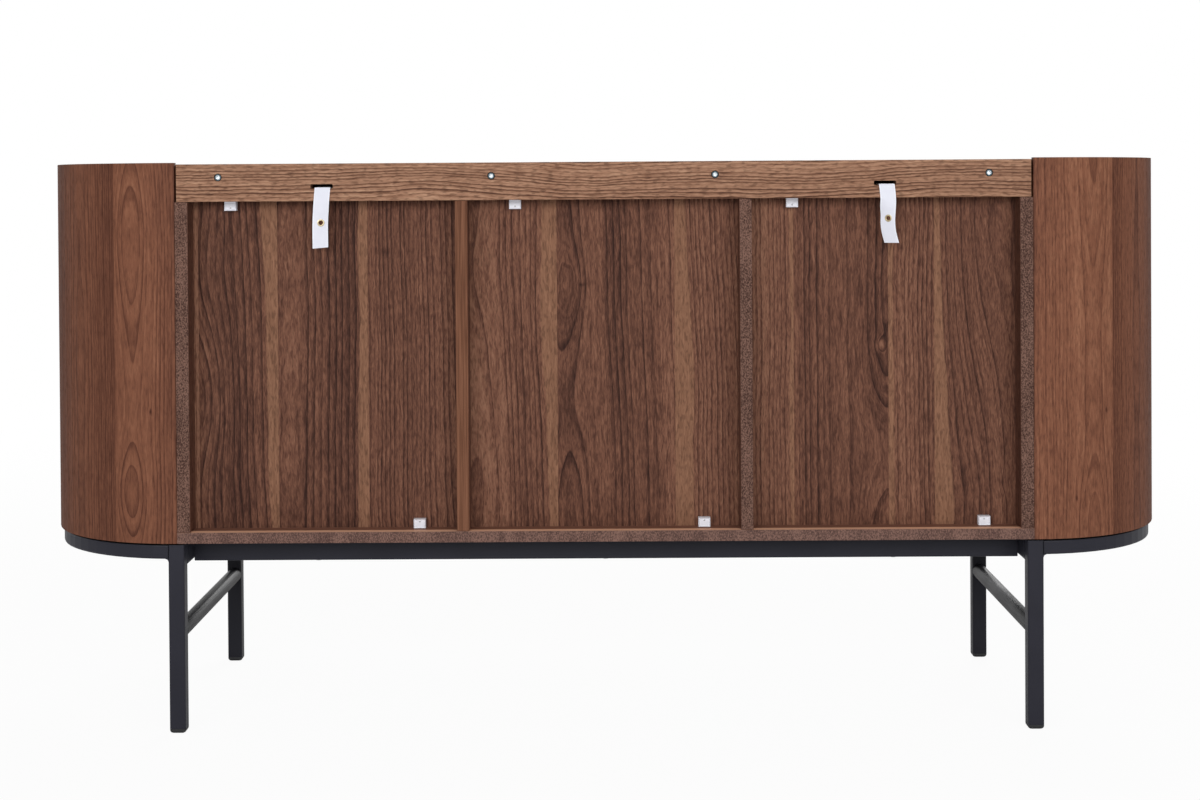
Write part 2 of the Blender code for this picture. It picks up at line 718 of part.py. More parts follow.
def make_knob(name, bay, black, axis):
    """Turned knob: stud, base, waist and a full rounded head."""
    x, z = knob_place(bay)
    middle = KNOB_PROUD - KNOB_HEAD_H / 2
    profile = [(0, -KNOB_STUD - SEAT), (KNOB_STUD_R, -KNOB_STUD - SEAT), (KNOB_STUD_R, 0),
               (KNOB_BASE_R, 0), (KNOB_BASE_R, KNOB_BASE_H),
               (KNOB_NECK_R, KNOB_BASE_H + KNOB_COVE),
               (KNOB_NECK_R, middle - KNOB_HEAD_H / 2)]
    profile += [(KNOB_R * u, middle + KNOB_HEAD_H / 2 * v) for u, v in arc((0, 0), 1, -60, 60, 4)]
    profile += [(0, KNOB_PROUD)]
    bm = bmesh.new()
    turned(bm, profile, (x, DOOR_FACE - SEAT, z), (0, -1, 0))
    make("knob_" + name, bm, black, axis)


def make_catch(name, bay, steel):
    """Magnetic catch under the ceiling, behind the closed door."""
    edge, inward = free_edge(bay)
    x = edge + inward * CATCH_EDGE
    front = DOOR_BACK + CATCH_GAP
    top = CEILING_Z - SEAT
    bm = bmesh.new()
    block(bm, (x - CATCH_W / 2, x + CATCH_W / 2), (front, front + CATCH_D),
          (top - CATCH_H, top), ARRIS)
    make("catch_" + name, bm, steel)


# Base frame

def frame_screw_places():
    """Plan positions of the screws that hold the body on the long rails."""
    y = BACK - LONG_RAIL_INSET - LONG_RAIL_W / 2
    return [(x, side * y) for side in (-1, 1) for x in FRAME_SCREW_XS]


def make_legs(black):
    """Square tube legs, open at the foot for their glides."""
    outer, inner = square_section(LEG_W, LEG_W)
    foot = GLIDE_H + SEAT
    for row, across in (("front", -1), ("rear", 1)):
        for name, side in SIDES.items():
            bm = bmesh.new()
            start = (side * LEG_X, across * LEG_Y, foot)
            tube(bm, outer, inner, straight(start, (1, 0, 0), (0, 1, 0), (0, 0, 1),
                                            BASE_HEIGHT - foot))
            make("leg_" + row + "_" + name, bm, black)


def make_glides(plastic):
    """Foot glides: a rounded foot and a plug inside the leg."""
    plug = LEG_W - 2 * TUBE_WALL - 2 * SEAT
    plug_corner = TUBE_CORNER - TUBE_WALL / 2
    steps = 4
    levels = []
    for i in range(steps + 1):
        angle = math.pi / 2 * i / steps
        inset = GLIDE_ROUND * (1 - math.sin(angle))
        levels.append((GLIDE_ROUND * (1 - math.cos(angle)), LEG_W - 2 * inset, TUBE_CORNER))
    levels += [(GLIDE_H, LEG_W, TUBE_CORNER), (GLIDE_H, plug, plug_corner),
               (GLIDE_H + PLUG_H, plug, plug_corner)]
    for row, across in (("front", -1), ("rear", 1)):
        for name, side in SIDES.items():
            loops = [[(side * LEG_X + u, across * LEG_Y + v, z)
                      for u, v in rounded_rect(width, width, corner)]
                     for z, width, corner in levels]
            bm = bmesh.new()
            loft(bm, loops)
            make("glide_" + row + "_" + name, bm, plastic)


def make_bands(black):
    """Tubes bent round under the shells, from the rear leg to the front leg."""
    outer, inner = square_section(BAND_W, BAND_H)
    radius = DEPTH / 2 - LEG_INSET - BAND_W / 2
    level = BASE_HEIGHT - BAND_H / 2
    butt = LEG_X + LEG_W / 2 + SEAT
    first = math.acos((butt - END_X) / (radius - BAND_W / 2))

    def at_leg(side, across):
        """Station cut square to the leg's outer face."""
        def place(u, v):
            y = math.sqrt((radius + u) ** 2 - (butt - END_X) ** 2)
            return Vector((side * butt, across * y, level + v))
        return place

    def on_arc(side, angle):
        """Station square to the bend."""
        def place(u, v):
            reach = radius + u
            x = side * (END_X + reach * math.cos(angle))
            return Vector((x, reach * math.sin(angle), level + v))
        return place

    for name, side in SIDES.items():
        stations = [at_leg(side, -1)]
        for i in range(1, END_FACETS):
            stations.append(on_arc(side, first * (2 * i / END_FACETS - 1)))
        stations.append(at_leg(side, 1))
        bm = bmesh.new()
        tube(bm, outer, inner, stations)
        make("end_band_" + name, bm, black)


def make_beams(black):
    """Front-to-back tubes between the legs: a deep one under the body and a round one below."""
    near = LEG_Y - LEG_W / 2 - SEAT
    for name, side in SIDES.items():
        outer, inner = square_section(BEAM_W, BEAM_H)
        bm = bmesh.new()
        start = (side * (LEG_IN + BEAM_W / 2), -near, BASE_HEIGHT - BEAM_H / 2)
        tube(bm, outer, inner, straight(start, (1, 0, 0), (0, 0, 1), (0, 1, 0), 2 * near))
        make("cross_beam_" + name, bm, black)
        bm = bmesh.new()
        start = (side * LEG_X, -near, STRETCHER_Z)
        tube(bm, circle(STRETCHER_R), circle(STRETCHER_R - TUBE_WALL),
             straight(start, (1, 0, 0), (0, 0, 1), (0, 1, 0), 2 * near))
        make("stretcher_" + name, bm, black)


def make_long_rails(black):
    """Lengthwise tubes between the cross beams, with spacers welded on and screw holes."""
    outer, inner = square_section(LONG_RAIL_W, LONG_RAIL_H)
    end = LEG_IN - SEAT
    for name, across in (("front", -1), ("rear", 1)):
        y = across * (BACK - LONG_RAIL_INSET - LONG_RAIL_W / 2)
        bm = bmesh.new()
        start = (-end, y, BASE_HEIGHT - LONG_RAIL_H / 2)
        tube(bm, outer, inner, straight(start, (0, 1, 0), (0, 0, 1), (1, 0, 0), 2 * end))
        rail = make("long_rail_" + name, bm, black)
        spacers = bmesh.new()
        holes = bmesh.new()
        for x in FRAME_SCREW_XS:
            cylinder(spacers, SPACER_R, (x, y, BASE_HEIGHT - TUBE_WALL / 2),
                     (x, y, BODY_Z - SEAT))
            cylinder(holes, FRAME_HOLE_R, (x, y, BASE_HEIGHT - 2 * LONG_RAIL_H),
                     (x, y, BASE_HEIGHT + LONG_RAIL_H))
        join(rail, spacers)
        cut(rail, holes)


def build():
    """Model the whole sideboard."""
    for old in list(bpy.data.objects):
        bpy.data.objects.remove(old, do_unlink=True)
    shell_wood = material("walnut_shell", (113, 75, 58), 0.50)
    board_wood = material("walnut_board", (112, 80, 66), 0.55)
    rail_wood = material("walnut_rail", (146, 109, 88), 0.52)
    panel_wood = material("walnut_panel", (103, 71, 58), 0.58)
    black = material("black_steel", (32, 32, 36), 0.38, 0.3)
    steel = material("zinc_steel", (172, 174, 176), 0.35, 1.0)
    plastic = material("white_plastic", (236, 236, 240), 0.45)
    foot_plastic = material("black_plastic", (26, 26, 28), 0.55)
    webbing = material("white_webbing", (238, 238, 242), 0.85)

    make_bottom(board_wood)
    make_ceiling(board_wood)
    make_top(shell_wood)
    make_uprights(board_wood)
    make_shelves(board_wood)
    make_rails(rail_wood)
    make_shells(shell_wood)
    make_panels(panel_wood)
    make_clips(plastic)
    make_rail_bolts(steel)
    make_straps(webbing)
    make_doors(shell_wood, black, steel)
    make_legs(black)
    make_glides(foot_plastic)
    make_bands(black)
    make_beams(black)
    make_long_rails(black)


build()
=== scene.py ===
# %% [markdown]
# # A walnut sideboard with half-round ends, seen from behind
#
# The cabinet comes in as a finished CAD frame: every board, panel, tube and bolt is one object at
# its real size in metres, and it stays where it is. This script gives each of them its finish, adds
# the small pieces that the frame leaves out, and sets up the floor, the lights and the camera.

# %% Load the frame
import math

import bmesh
import bpy
from mathutils import Matrix, Vector


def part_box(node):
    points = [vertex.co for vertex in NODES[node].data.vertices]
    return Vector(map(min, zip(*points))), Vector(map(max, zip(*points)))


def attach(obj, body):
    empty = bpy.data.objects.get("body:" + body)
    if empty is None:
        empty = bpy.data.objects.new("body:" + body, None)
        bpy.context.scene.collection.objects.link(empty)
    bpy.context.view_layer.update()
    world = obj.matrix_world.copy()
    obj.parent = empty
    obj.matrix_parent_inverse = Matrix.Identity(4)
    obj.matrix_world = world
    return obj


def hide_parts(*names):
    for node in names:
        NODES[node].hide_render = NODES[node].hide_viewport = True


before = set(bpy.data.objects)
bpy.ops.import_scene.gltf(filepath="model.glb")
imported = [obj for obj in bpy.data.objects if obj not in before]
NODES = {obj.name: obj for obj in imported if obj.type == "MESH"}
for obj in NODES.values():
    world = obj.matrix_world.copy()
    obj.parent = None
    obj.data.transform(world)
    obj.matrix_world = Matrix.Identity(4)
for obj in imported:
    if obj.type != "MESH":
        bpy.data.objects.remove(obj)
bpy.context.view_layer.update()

# %% [markdown]
# ## Writing shaders as sums
#
# A shader in Blender is a net of nodes. Placing them one by one hides the idea behind them, so a
# small class stands for one value in the net and knows how to add, subtract, multiply and divide:
# each sign adds one Math node. All the other nodes come from one method that takes the node's type,
# its settings and what goes into its sockets.

# %% A value in a shader, and the net that holds it


class Wire:
    """One output socket of a node: arithmetic on it adds Math nodes."""

    def __init__(self, net, socket):
        self.net = net
        self.socket = socket

    def __add__(self, other):
        return self.net.maths("ADD", self, other)

    def __sub__(self, other):
        return self.net.maths("SUBTRACT", self, other)

    def __rsub__(self, other):
        return self.net.maths("SUBTRACT", other, self)

    def __mul__(self, other):
        return self.net.maths("MULTIPLY", self, other)

    def __truediv__(self, other):
        return self.net.maths("DIVIDE", self, other)

    def __pow__(self, other):
        return self.net.maths("POWER", self, other)

    __radd__ = __add__
    __rmul__ = __mul__


class Net:
    """The node tree of one material."""

    def __init__(self, name):
        self.material = bpy.data.materials.new(name)
        self.material.use_nodes = True
        self.tree = self.material.node_tree
        self.tree.nodes.clear()

    def add(self, kind, settings, sockets):
        """Add a node: its settings are made first, then its sockets get their values or links."""
        node = self.tree.nodes.new("ShaderNode" + kind)
        for key, value in settings.items():
            if key == "stops":
                for stop in range(len(value) - 2):
                    node.color_ramp.elements.new(0.5)
                for element, (place, colour) in zip(node.color_ramp.elements, value):
                    element.position = place
                    element.color = colour
            else:
                setattr(node, key, value)
        for key, value in sockets.items():
            if isinstance(value, Wire):
                self.tree.links.new(value.socket, node.inputs[key])
            else:
                node.inputs[key].default_value = value
        return node

    def wire(self, kind, settings, sockets, output=0):
        """Add a node and return one of its outputs."""
        return Wire(self, self.add(kind, settings, sockets).outputs[output])

    def maths(self, operation, *values):
        """One Math node."""
        return self.wire("Math", {"operation": operation}, dict(enumerate(values)))

    def step(self, value, low, high):
        """Smooth rise from 0 to 1 between two values."""
        return self.wire("MapRange", {"interpolation_type": "SMOOTHSTEP"},
                         {"Value": value, "From Min": low, "From Max": high})

    def ramp(self, value, stops):
        """Colour from a value between 0 and 1, through stops of (place, colour)."""
        return self.wire("ValToRGB", {"stops": stops}, {0: value})

    def blend(self, share, first, second):
        """Two colours mixed by a share from 0 to 1."""
        return self.wire("Mix", {"data_type": "RGBA"}, {0: share, 6: first, 7: second}, 2)

    def split(self, vector):
        """The three parts of a vector."""
        parts = self.add("SeparateXYZ", {}, {0: vector})
        return [Wire(self, parts.outputs[axis]) for axis in "XYZ"]

    def place(self):
        """The point on the surface in metres, as three values."""
        return self.split(self.wire("TexCoord", {}, {}, "Object"))

    def facing(self):
        """The direction that the surface faces, as three values."""
        return self.split(self.wire("TexCoord", {}, {}, "Normal"))

    def noise(self, x, y, z, detail=2.0, rough=0.5):
        """Cloudy noise, about 0 to 1, that repeats no pattern: one lump is one unit wide."""
        point = self.wire("CombineXYZ", {}, {0: x, 1: y, 2: z})
        return self.wire("TexNoise", {}, {"Vector": point, "Scale": 1.0, "Detail": detail,
                                          "Roughness": rough})

    def finish(self, colour, roughness, bump, **constants):
        """Close the net with a Principled shader; bump is (height, strength, depth in metres)."""
        sockets = {"Base Color": colour, "Roughness": roughness}
        sockets.update({key.replace("_", " "): value for key, value in constants.items()})
        height, strength, depth = bump
        sockets["Normal"] = self.wire("Bump", {}, {"Height": height, "Strength": strength,
                                                   "Distance": depth})
        shader = self.wire("BsdfPrincipled", {}, sockets)
        self.add("OutputMaterial", {}, {"Surface": shader})
        return self.material


def paint(red, green, blue):
    """A screen colour from 0 to 255 as the linear colour that a shader takes."""
    channels = [value / 255 for value in (red, green, blue)]
    linear = [c / 12.92 if c <= 0.04045 else ((c + 0.055) / 1.055) ** 2.4 for c in channels]
    return (*linear, 1.0)


print("shader helpers ready")

# %% [markdown]
# ## Walnut veneer
#
# A veneer leaf is a thin slice of a log. Its figure is the pattern of the yearly rings where the
# slice meets them: near the pith they close into long arches, and further out they run as straight
# stripes. A stretched noise texture alone gives stripes but never arches, so this finish slices a
# made-up log instead: the distance from the pith, whose depth under the surface changes along the
# board, is cut into rings. A knot pushes the rings aside. Each ring darkens slowly and ends at a
# sharp line, as late wood does, and beyond a certain radius the wood is pale sapwood. Panels are
# laid from several leaves, each from another place in a log, so every leaf has its own numbers.

# %% The rings of a leaf
LEAF_STEP = 3.7
WALNUT = {"seed": 0.0, "joints": (), "pith": (0.0,), "lean": (0.0,), "depth": (0.05,),
          "ring": (0.007,), "sap": (), "tone": (0.0,), "knots": (), "swell": 0.05, "sway": 0.012,
          "ripple": 0.0025, "uneven": 1.3, "line": 0.60, "bands": 0.7, "fine": 0.8, "fibre": 0.9,
          "fleck": 0.36, "glow": 0.0, "wander": 12.0, "wave": 0.0055, "spots": ()}


def pick(masks, values):
    """Value of the leaf that a point lies in, from one value for each leaf."""
    chosen = values[0]
    for mask, before, after in zip(masks, values, values[1:]):
        chosen = chosen + mask * (after - before)
    return chosen


def within(masks, joints, x):
    """1 on the leaf that holds a place across the grain, and 0 on the others."""
    number = sum(x > joint for joint in joints)
    share = masks[number - 1] if number > 0 else 1.0
    if number < len(masks):
        share = share - masks[number]
    return share


def lump(net, across, along, x, z, half_width, half_height):
    """A round rise from 0 to 1 at a place on the leaf."""
    off = (across - x) / half_width
    up = (along - z) / half_height
    return net.maths("EXPONENT", 0.0 - off * off - up * up)


def log_radius(net, across, along, leaf, masks, look):
    """Distance from the pith of the log, and how far to the side of it the point lies."""
    sway = net.noise(along * 4.0, across * 2.0, leaf, 1.0) - 0.5
    swell = net.noise(along * 3.0, leaf, 4.2, 1.0) - 0.5
    ripple = net.noise(across * 60.0, along * look["wander"], leaf, 2.0) - 0.5
    pith = pick(masks, look["pith"]) + (along - 0.5) * pick(masks, look["lean"])
    side = across - pith + sway * look["sway"]
    depth = pick(masks, look["depth"]) + swell * look["swell"]
    radius = net.maths("SQRT", side * side + depth * depth) + ripple * look["ripple"]
    for x, z, half_width, half_height, push in look["knots"]:
        push = within(masks, look["joints"], x) * push
        radius = radius + lump(net, across, along, x, z, half_width, half_height) * push
    return radius, side


print("a leaf is described by", ", ".join(WALNUT))

# %% [markdown]
# The rings give most of the tone. The rest is finer: slow bands along the rings, fine streaks that
# follow them, upright fibres, and the short dark pores that give walnut its texture. All of them
# add up to one tone, which a ramp turns into colour, so the browns always stay in one family. A
# fine wave bends the streaks and pores a little from side to side, as the fibres of walnut do.

# %% The walnut finish
HEART_TONES = ((0.0, paint(46, 28, 24)), (0.35, paint(80, 52, 42)), (0.65, paint(110, 74, 59)),
               (1.0, paint(138, 99, 79)))
SHELL_TONES = ((0.0, paint(66, 39, 30)), (0.35, paint(96, 60, 46)), (0.65, paint(122, 79, 60)),
               (1.0, paint(148, 102, 78)))
RAIL_TONES = ((0.0, paint(78, 51, 39)), (0.35, paint(122, 87, 68)), (0.65, paint(154, 116, 93)),
              (1.0, paint(182, 144, 117)))
SAP_TONES = ((0.0, paint(98, 67, 51)), (1.0, paint(146, 106, 83)))
PORE = paint(54, 34, 28)

# Lumps of each noise to the metre: across the grain, and along it
WAVE = (80.0, 50.0)
FINE = (400.0, 22.0)
FIBRE = (520.0, 75.0)
PORES = (400.0, 90.0)


def veneer(net, across, along, look):
    """Colour, roughness and height of walnut, from the places across and along its grain."""
    look = {**WALNUT, **look}
    masks = [net.maths("GREATER_THAN", across, joint) for joint in look["joints"]]
    leaf = look["seed"] + sum(masks) * LEAF_STEP
    radius, side = log_radius(net, across, along, leaf, masks, look)
    rings = radius / pick(masks, look["ring"])
    rings = rings + net.noise(radius * 45.0, leaf, 2.6, 1.0) * look["uneven"]
    phase = net.maths("FRACT", rings)
    strength = net.noise(net.maths("FLOOR", rings) * 0.73, leaf, 1.3, 0.0)
    late = phase ** 3.0 * net.step(phase, 1.0, 0.93) * net.step(strength, 0.20, 0.65)
    bands = net.noise(radius * 24.0, along * 0.8, leaf + 9.1, 2.0) - 0.5
    wave = (net.noise(across * WAVE[0], along * WAVE[1], leaf + 4.4, 1.0) - 0.5) * look["wave"]
    fine = net.noise((radius + wave) * FINE[0], along * FINE[1], leaf + 3.0, 2.0, 0.6) - 0.5
    fibre = net.noise((across + wave) * FIBRE[0], along * FIBRE[1], leaf, 2.0, 0.7) - 0.5
    pores = net.noise((across + wave) * PORES[0], along * PORES[1], leaf + 5.0, 1.0)
    pores = net.step(pores, 0.50, 0.66)
    tone = 0.5 + pick(masks, look["tone"]) + bands * look["bands"] + fine * look["fine"]
    tone = tone + fibre * look["fibre"] - late * look["line"]
    tone = tone + net.step(net.maths("ABSOLUTE", side), 0.055, 0.02) * look["glow"]
    for x, z, half_width, half_height, dark in look["spots"]:
        tone = tone - lump(net, across, along, x, z, half_width, half_height) * dark
    colour = net.ramp(tone, look["tones"])
    if look["sap"]:
        start = pick(masks, look["sap"])
        pale = net.step(radius + fine * 0.003, start, start + 0.0025)
        colour = net.blend(pale, colour, net.ramp(0.55 + fine * 1.2 + fibre * 0.9, SAP_TONES))
    colour = net.blend(pores * look["fleck"], colour, PORE)
    rough = 0.56 + pores * 0.12 - late * 0.05 + fibre * 0.12
    height = 1.0 - pores * 0.8 - late * 0.3 + fibre * 0.4
    return colour, rough, height


def walnut(name, axes, look, edge=None):
    """A walnut finish whose grain crosses and follows the given axes of the object."""
    net = Net(name)
    x, y, z = net.place()
    across, along = axes(net, x, y, z)
    colour, rough, height = veneer(net, across, along, look)
    if edge is not None:
        share, edge_colour = edge(net, x, y, z)
        colour = net.blend(share, colour, edge_colour)
    return net.finish(colour, rough, (height, 0.35, 0.00008), Specular_IOR_Level=0.06)


print("walnut ready")

# %% [markdown]
# ## Wooden pieces
#
# The bent shells have their grain upright, so the place across the grain is the way round the
# bend. The rails and the top have it lengthwise, and the panels and doors upright. The dividers,
# the sides and the bottom board show banded edges at the back, with short dark flecks or straight
# grain. What faces the floor is painted dark as painted shade, and the ledge under the panels has
# painted shade with a painted highlight along its back edge.

# %% Which way the grain runs
END_X = 0.590
BEND_R = 0.210
BACK = 0.210
FACE_Y = 0.180
LEDGE_START = 0.1745
# Across this span the ledge turns from painted shade to painted highlight
LEDGE_PAINTED_LIGHT = (0.1940, 0.1985)
TOP_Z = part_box("top_board")[1].z


def around_bend(net, x, y, z):
    """Across is the length round the half circle, along is the height."""
    reach = net.maths("ABSOLUTE", x) - END_X
    return net.maths("ARCTAN2", y, reach) * BEND_R, z


def lengthwise(net, x, y, z):
    """Grain along the width, on rails that face the front or the back."""
    return z + (net.maths("ABSOLUTE", y) - BACK) * 0.9, x


def lengthwise_flat(net, x, y, z):
    """Grain along the width, on boards that lie flat."""
    return y + (z - TOP_Z) * 0.9, x


def upright(net, x, y, z):
    """Grain upright on panels and doors, which lie about FACE_Y from the middle."""
    return x + (net.maths("ABSOLUTE", y) - FACE_Y) * 0.7, z


def upright_side(net, x, y, z):
    """Grain upright on pieces that face left or right."""
    return y + x * 0.7, z


def speckled_edge(net, x, y, z):
    """Edge band with short dark flecks, on what faces the back or the front."""
    facing = net.facing()
    share = net.step(net.maths("ABSOLUTE", facing[1]), 0.6, 0.8)
    fleck = net.noise(x * 620.0, y * 620.0, z * 400.0, 2.0, 0.7)
    slow = net.noise(x * 60.0, y * 60.0, z * 14.0, 1.0)
    tone = net.step(fleck + (slow - 0.5) * 0.25, 0.34, 0.68)
    return share, net.blend(tone, paint(60, 40, 34), paint(123, 93, 81))


def speckled_edge_and_ledge(net, x, y, z):
    """Speckled band; painted shade on the ledge, with a painted highlight at its back edge."""
    share, colour = speckled_edge(net, x, y, z)
    colour = net.blend(0.08, colour, paint(176, 146, 142))
    # Painted highlight on the ledge's back edge and painted shade further in, towards the panel.
    ledge = net.step(net.facing()[2], 0.6, 0.8) * net.maths("GREATER_THAN", y, LEDGE_START)
    streak = net.noise(x * 40.0, y * 300.0, z, 2.0)
    painted_ledge_light = net.blend(streak, paint(212, 160, 130), paint(236, 186, 154))
    shade = net.blend(streak, paint(110, 74, 60), paint(130, 90, 73))
    painted_ledge_light = net.blend(net.step(y, *LEDGE_PAINTED_LIGHT), shade, painted_ledge_light)
    under, underside_shade = dark_underside(net, x, y, z)
    share = net.maths("MAXIMUM", share, net.maths("MAXIMUM", ledge, under))
    return share, net.blend(under, net.blend(ledge, colour, painted_ledge_light), underside_shade)


def dark_underside(net, x, y, z):
    """Painted shade on what faces the floor, which darkens the gap under the body."""
    # Painted shade: near black on every face that looks down
    return net.step(0.0 - net.facing()[2], 0.5, 0.8), paint(16, 12, 11)


def plain_edge(net, x, y, z):
    """Edge band with straight upright grain, on what faces the back or the front."""
    facing = net.facing()
    share = net.step(net.maths("ABSOLUTE", facing[1]), 0.6, 0.8)
    streak = net.noise(x * 420.0, y * 420.0, z * 9.0, 2.0, 0.6)
    slow = net.noise(x * 30.0, y * 30.0, z * 5.0, 1.0)
    tone = net.step(streak + (slow - 0.5) * 0.5, 0.25, 0.75)
    return share, net.blend(tone, paint(92, 59, 43), paint(129, 88, 67))


print("grain directions ready")

# %% [markdown]
# The looks are a list of numbers for each piece. A board's leaves run from low to high places
# across the grain: where they join, where each leaf's pith would be, how that leans, how deep it
# lies, how wide a ring is and how far from the pith the sapwood starts. A knot or a spot is its
# place across and along the grain, half its width and height, and how far it pushes the rings or
# how much it darkens the wood. The shells, rails and top board come first.

# %% Looks of the shells, the rails and the top board
SHELL = {"tones": SHELL_TONES, "ring": (0.0046,), "depth": (0.032,), "swell": 0.012,
         "sway": 0.010, "ripple": 0.0012, "line": 0.45, "bands": 0.45, "fine": 0.70, "fibre": 0.45,
         "fleck": 0.18, "glow": 0.12, "wander": 5.0, "wave": 0.0012}
PANEL = {"tones": HEART_TONES, "swell": 0.03}
RAIL = {"tones": RAIL_TONES, "ring": (0.0044,), "depth": (0.014,), "swell": 0.02, "sway": 0.012,
        "ripple": 0.0040, "line": 1.05, "bands": 0.45, "fine": 0.8, "fibre": 0.7, "fleck": 0.38,
        "wander": 26.0, "wave": 0.0018, "uneven": 2.0, "tone": (0.16,)}
INSIDE = {**PANEL, "pith": (-0.35,), "ring": (0.006,), "line": 0.25}

LOOKS = {
    "end_shell_right": (around_bend, {
        **SHELL, "seed": 6.0, "joints": (0.2419,), "pith": (0.170, 0.269),
        "ring": (0.0036, 0.0046), "tone": (-0.09, 0.04),
        "knots": ((0.269, 0.690, 0.050, 0.110, -0.010), (0.262, 0.331, 0.035, 0.060, -0.010)),
        "spots": ((0.2966, 0.444, 0.0016, 0.0035, 0.6), (0.214, 0.420, 0.020, 0.250, 0.06),
                  (0.305, 0.560, 0.005, 0.120, -0.12))}, dark_underside),
    "end_shell_left": (around_bend, {
        **SHELL, "seed": 2.0, "joints": (0.2098,), "pith": (0.150, 0.243),
        "ring": (0.0036, 0.0046), "tone": (-0.08, 0.06), "fibre": 0.6, "fleck": 0.24,
        "knots": ((0.243, 0.800, 0.050, 0.160, -0.010), (0.243, 0.280, 0.040, 0.080, -0.010)),
        "spots": ((0.2222, 0.436, 0.0016, 0.0035, 0.6), (0.272, 0.317, 0.0016, 0.0035, 0.6),
                  (0.300, 0.500, 0.026, 0.500, -0.07), (0.268, 0.560, 0.004, 0.160, -0.10),
                  (0.216, 0.560, 0.003, 0.120, -0.12))}, dark_underside),
    "rear_top_rail": (lengthwise, {
        **RAIL, "seed": 1.0, "pith": (0.722,),
        "knots": ((0.757, 0.230, 0.030, 0.090, -0.009), (0.765, 0.020, 0.030, 0.070, 0.008),
                  (0.760, -0.300, 0.030, 0.110, 0.006)),
        "spots": ((0.765, 0.200, 0.003, 0.016, 0.25), (0.768, 0.115, 0.002, 0.010, 0.30))}),
    "front_top_rail": (lengthwise, {**RAIL, "seed": 8.0, "pith": (0.722,), "tone": (0.0,)}),
    "top_board": (lengthwise_flat, {
        **SHELL, "seed": 3.0, "joints": (-0.070, 0.070), "pith": (-0.150, 0.010, 0.150),
        "depth": (0.03, 0.02, 0.03), "ring": (0.0062,)}),
}
print("looks of shells, rails and top board:", len(LOOKS))

# %% [markdown]
# The three back panels show the most: each is laid from three or four leaves, some of them with
# pale sapwood along one edge. The boards inside are plainer, and each door has three leaves whose
# places follow from the door's own box.

# %% Looks of the panels, the inner boards and the doors
BAYS = ("left", "centre", "right")
LOOKS.update({
    "back_panel_right": (upright, {
        **PANEL, "seed": 1.0, "joints": (0.3239, 0.4490, 0.5591), "line": 0.65,
        "pith": (0.190, 0.430, 0.600, 0.640), "lean": (0.01, -0.012, 0.034, 0.0),
        "depth": (0.03, 0.02, 0.020, 0.03), "ring": (0.0056, 0.0088, 0.0094, 0.006),
        # The leaf along the side board is paler wood, and painted light makes it paler still
        # against the shade that the side board throws on it.
        "sap": (0.5, 0.0933, 0.1332, 0.5), "tone": (0.15, 0.05, 0.08, 0.48),
        "knots": ((0.552, 0.458, 0.030, 0.085, -0.022), (0.548, 0.625, 0.030, 0.070, 0.012),
                  (0.441, 0.366, 0.012, 0.030, -0.006)),
        "spots": ((0.542, 0.458, 0.004, 0.006, 0.16), (0.548, 0.462, 0.014, 0.040, 0.10))}),
    "back_panel_centre": (upright, {
        **PANEL, "seed": 4.0, "joints": (-0.1015, 0.0616),
        "pith": (-0.245, 0.050, 0.182), "lean": (0.03, 0.03, 0.02),
        "depth": (0.03, 0.012, 0.03), "ring": (0.0066, 0.0100, 0.0085),
        "sap": (0.1251, 0.5, 0.1075), "tone": (0.21, 0.09, 0.21),
        "knots": ((0.040, 0.613, 0.022, 0.050, -0.014), (0.047, 0.440, 0.030, 0.095, 0.018),
                  (0.166, 0.330, 0.045, 0.130, -0.015), (0.170, 0.620, 0.030, 0.090, 0.006),
                  (0.080, 0.560, 0.030, 0.110, 0.0075), (-0.121, 0.500, 0.025, 0.100, 0.0034)),
        "spots": ((0.0277, 0.613, 0.006, 0.003, 0.35), (0.045, 0.600, 0.020, 0.100, 0.18),
                  (0.045, 0.360, 0.020, 0.140, 0.18))}),
    "back_panel_left": (upright, {
        **PANEL, "seed": 7.0, "joints": (-0.4608, -0.3971, -0.2661),
        "pith": (-0.590, -0.500, -0.396, -0.150), "lean": (0.03, 0.0, 0.0, 0.0),
        "depth": (0.03, 0.03, 0.014, 0.03), "ring": (0.0072, 0.0056, 0.0088, 0.0056),
        "sap": (0.1167, 0.0993, 0.5, 0.112), "tone": (0.14, 0.17, 0.13, 0.26),
        "knots": ((-0.390, 0.385, 0.034, 0.080, 0.022), (-0.386, 0.526, 0.008, 0.012, -0.007),
                  (-0.525, 0.690, 0.034, 0.160, -0.022), (-0.525, 0.320, 0.034, 0.150, 0.018),
                  (-0.553, 0.336, 0.010, 0.018, -0.006)),
        "spots": ((-0.384, 0.470, 0.016, 0.120, 0.14), (-0.553, 0.336, 0.003, 0.005, 0.30),
                  (-0.386, 0.527, 0.0065, 0.0080, -0.42))}),
    "side_left": (upright_side, {**INSIDE, "seed": 11.0}, speckled_edge),
    "side_right": (upright_side, {**INSIDE, "seed": 12.0}, speckled_edge),
    "divider_left": (upright_side, {**INSIDE, "seed": 13.0}, speckled_edge),
    "divider_right": (upright_side, {**INSIDE, "seed": 14.0}, plain_edge),
    "bottom_board": (lengthwise_flat, {**INSIDE, "seed": 15.0}, speckled_edge_and_ledge),
    "ceiling_board": (lengthwise_flat, {**INSIDE, "seed": 16.0}),
})
for number, bay in enumerate(BAYS):
    low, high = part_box("door_" + bay)
    middle = (low.x + high.x) / 2
    LOOKS["shelf_" + bay] = (lengthwise_flat, {**INSIDE, "seed": 20.0 + number})
    LOOKS["door_" + bay] = (upright, {
        **SHELL, "seed": 30.0 + number, "joints": (middle - 0.06, middle + 0.07),
        "pith": (middle - 0.13, middle, middle + 0.14), "depth": (0.03, 0.015, 0.025),
        "ring": (0.0060, 0.0072, 0.0058), "tone": (0.0, -0.05, 0.03)})


def dress(name, material):
    """Give a CAD node its finish."""
    for slot in NODES[name].material_slots:
        slot.material = material


for name, look in LOOKS.items():
    dress(name, walnut("walnut_" + name, *look))
print("wooden pieces dressed:", len(LOOKS))
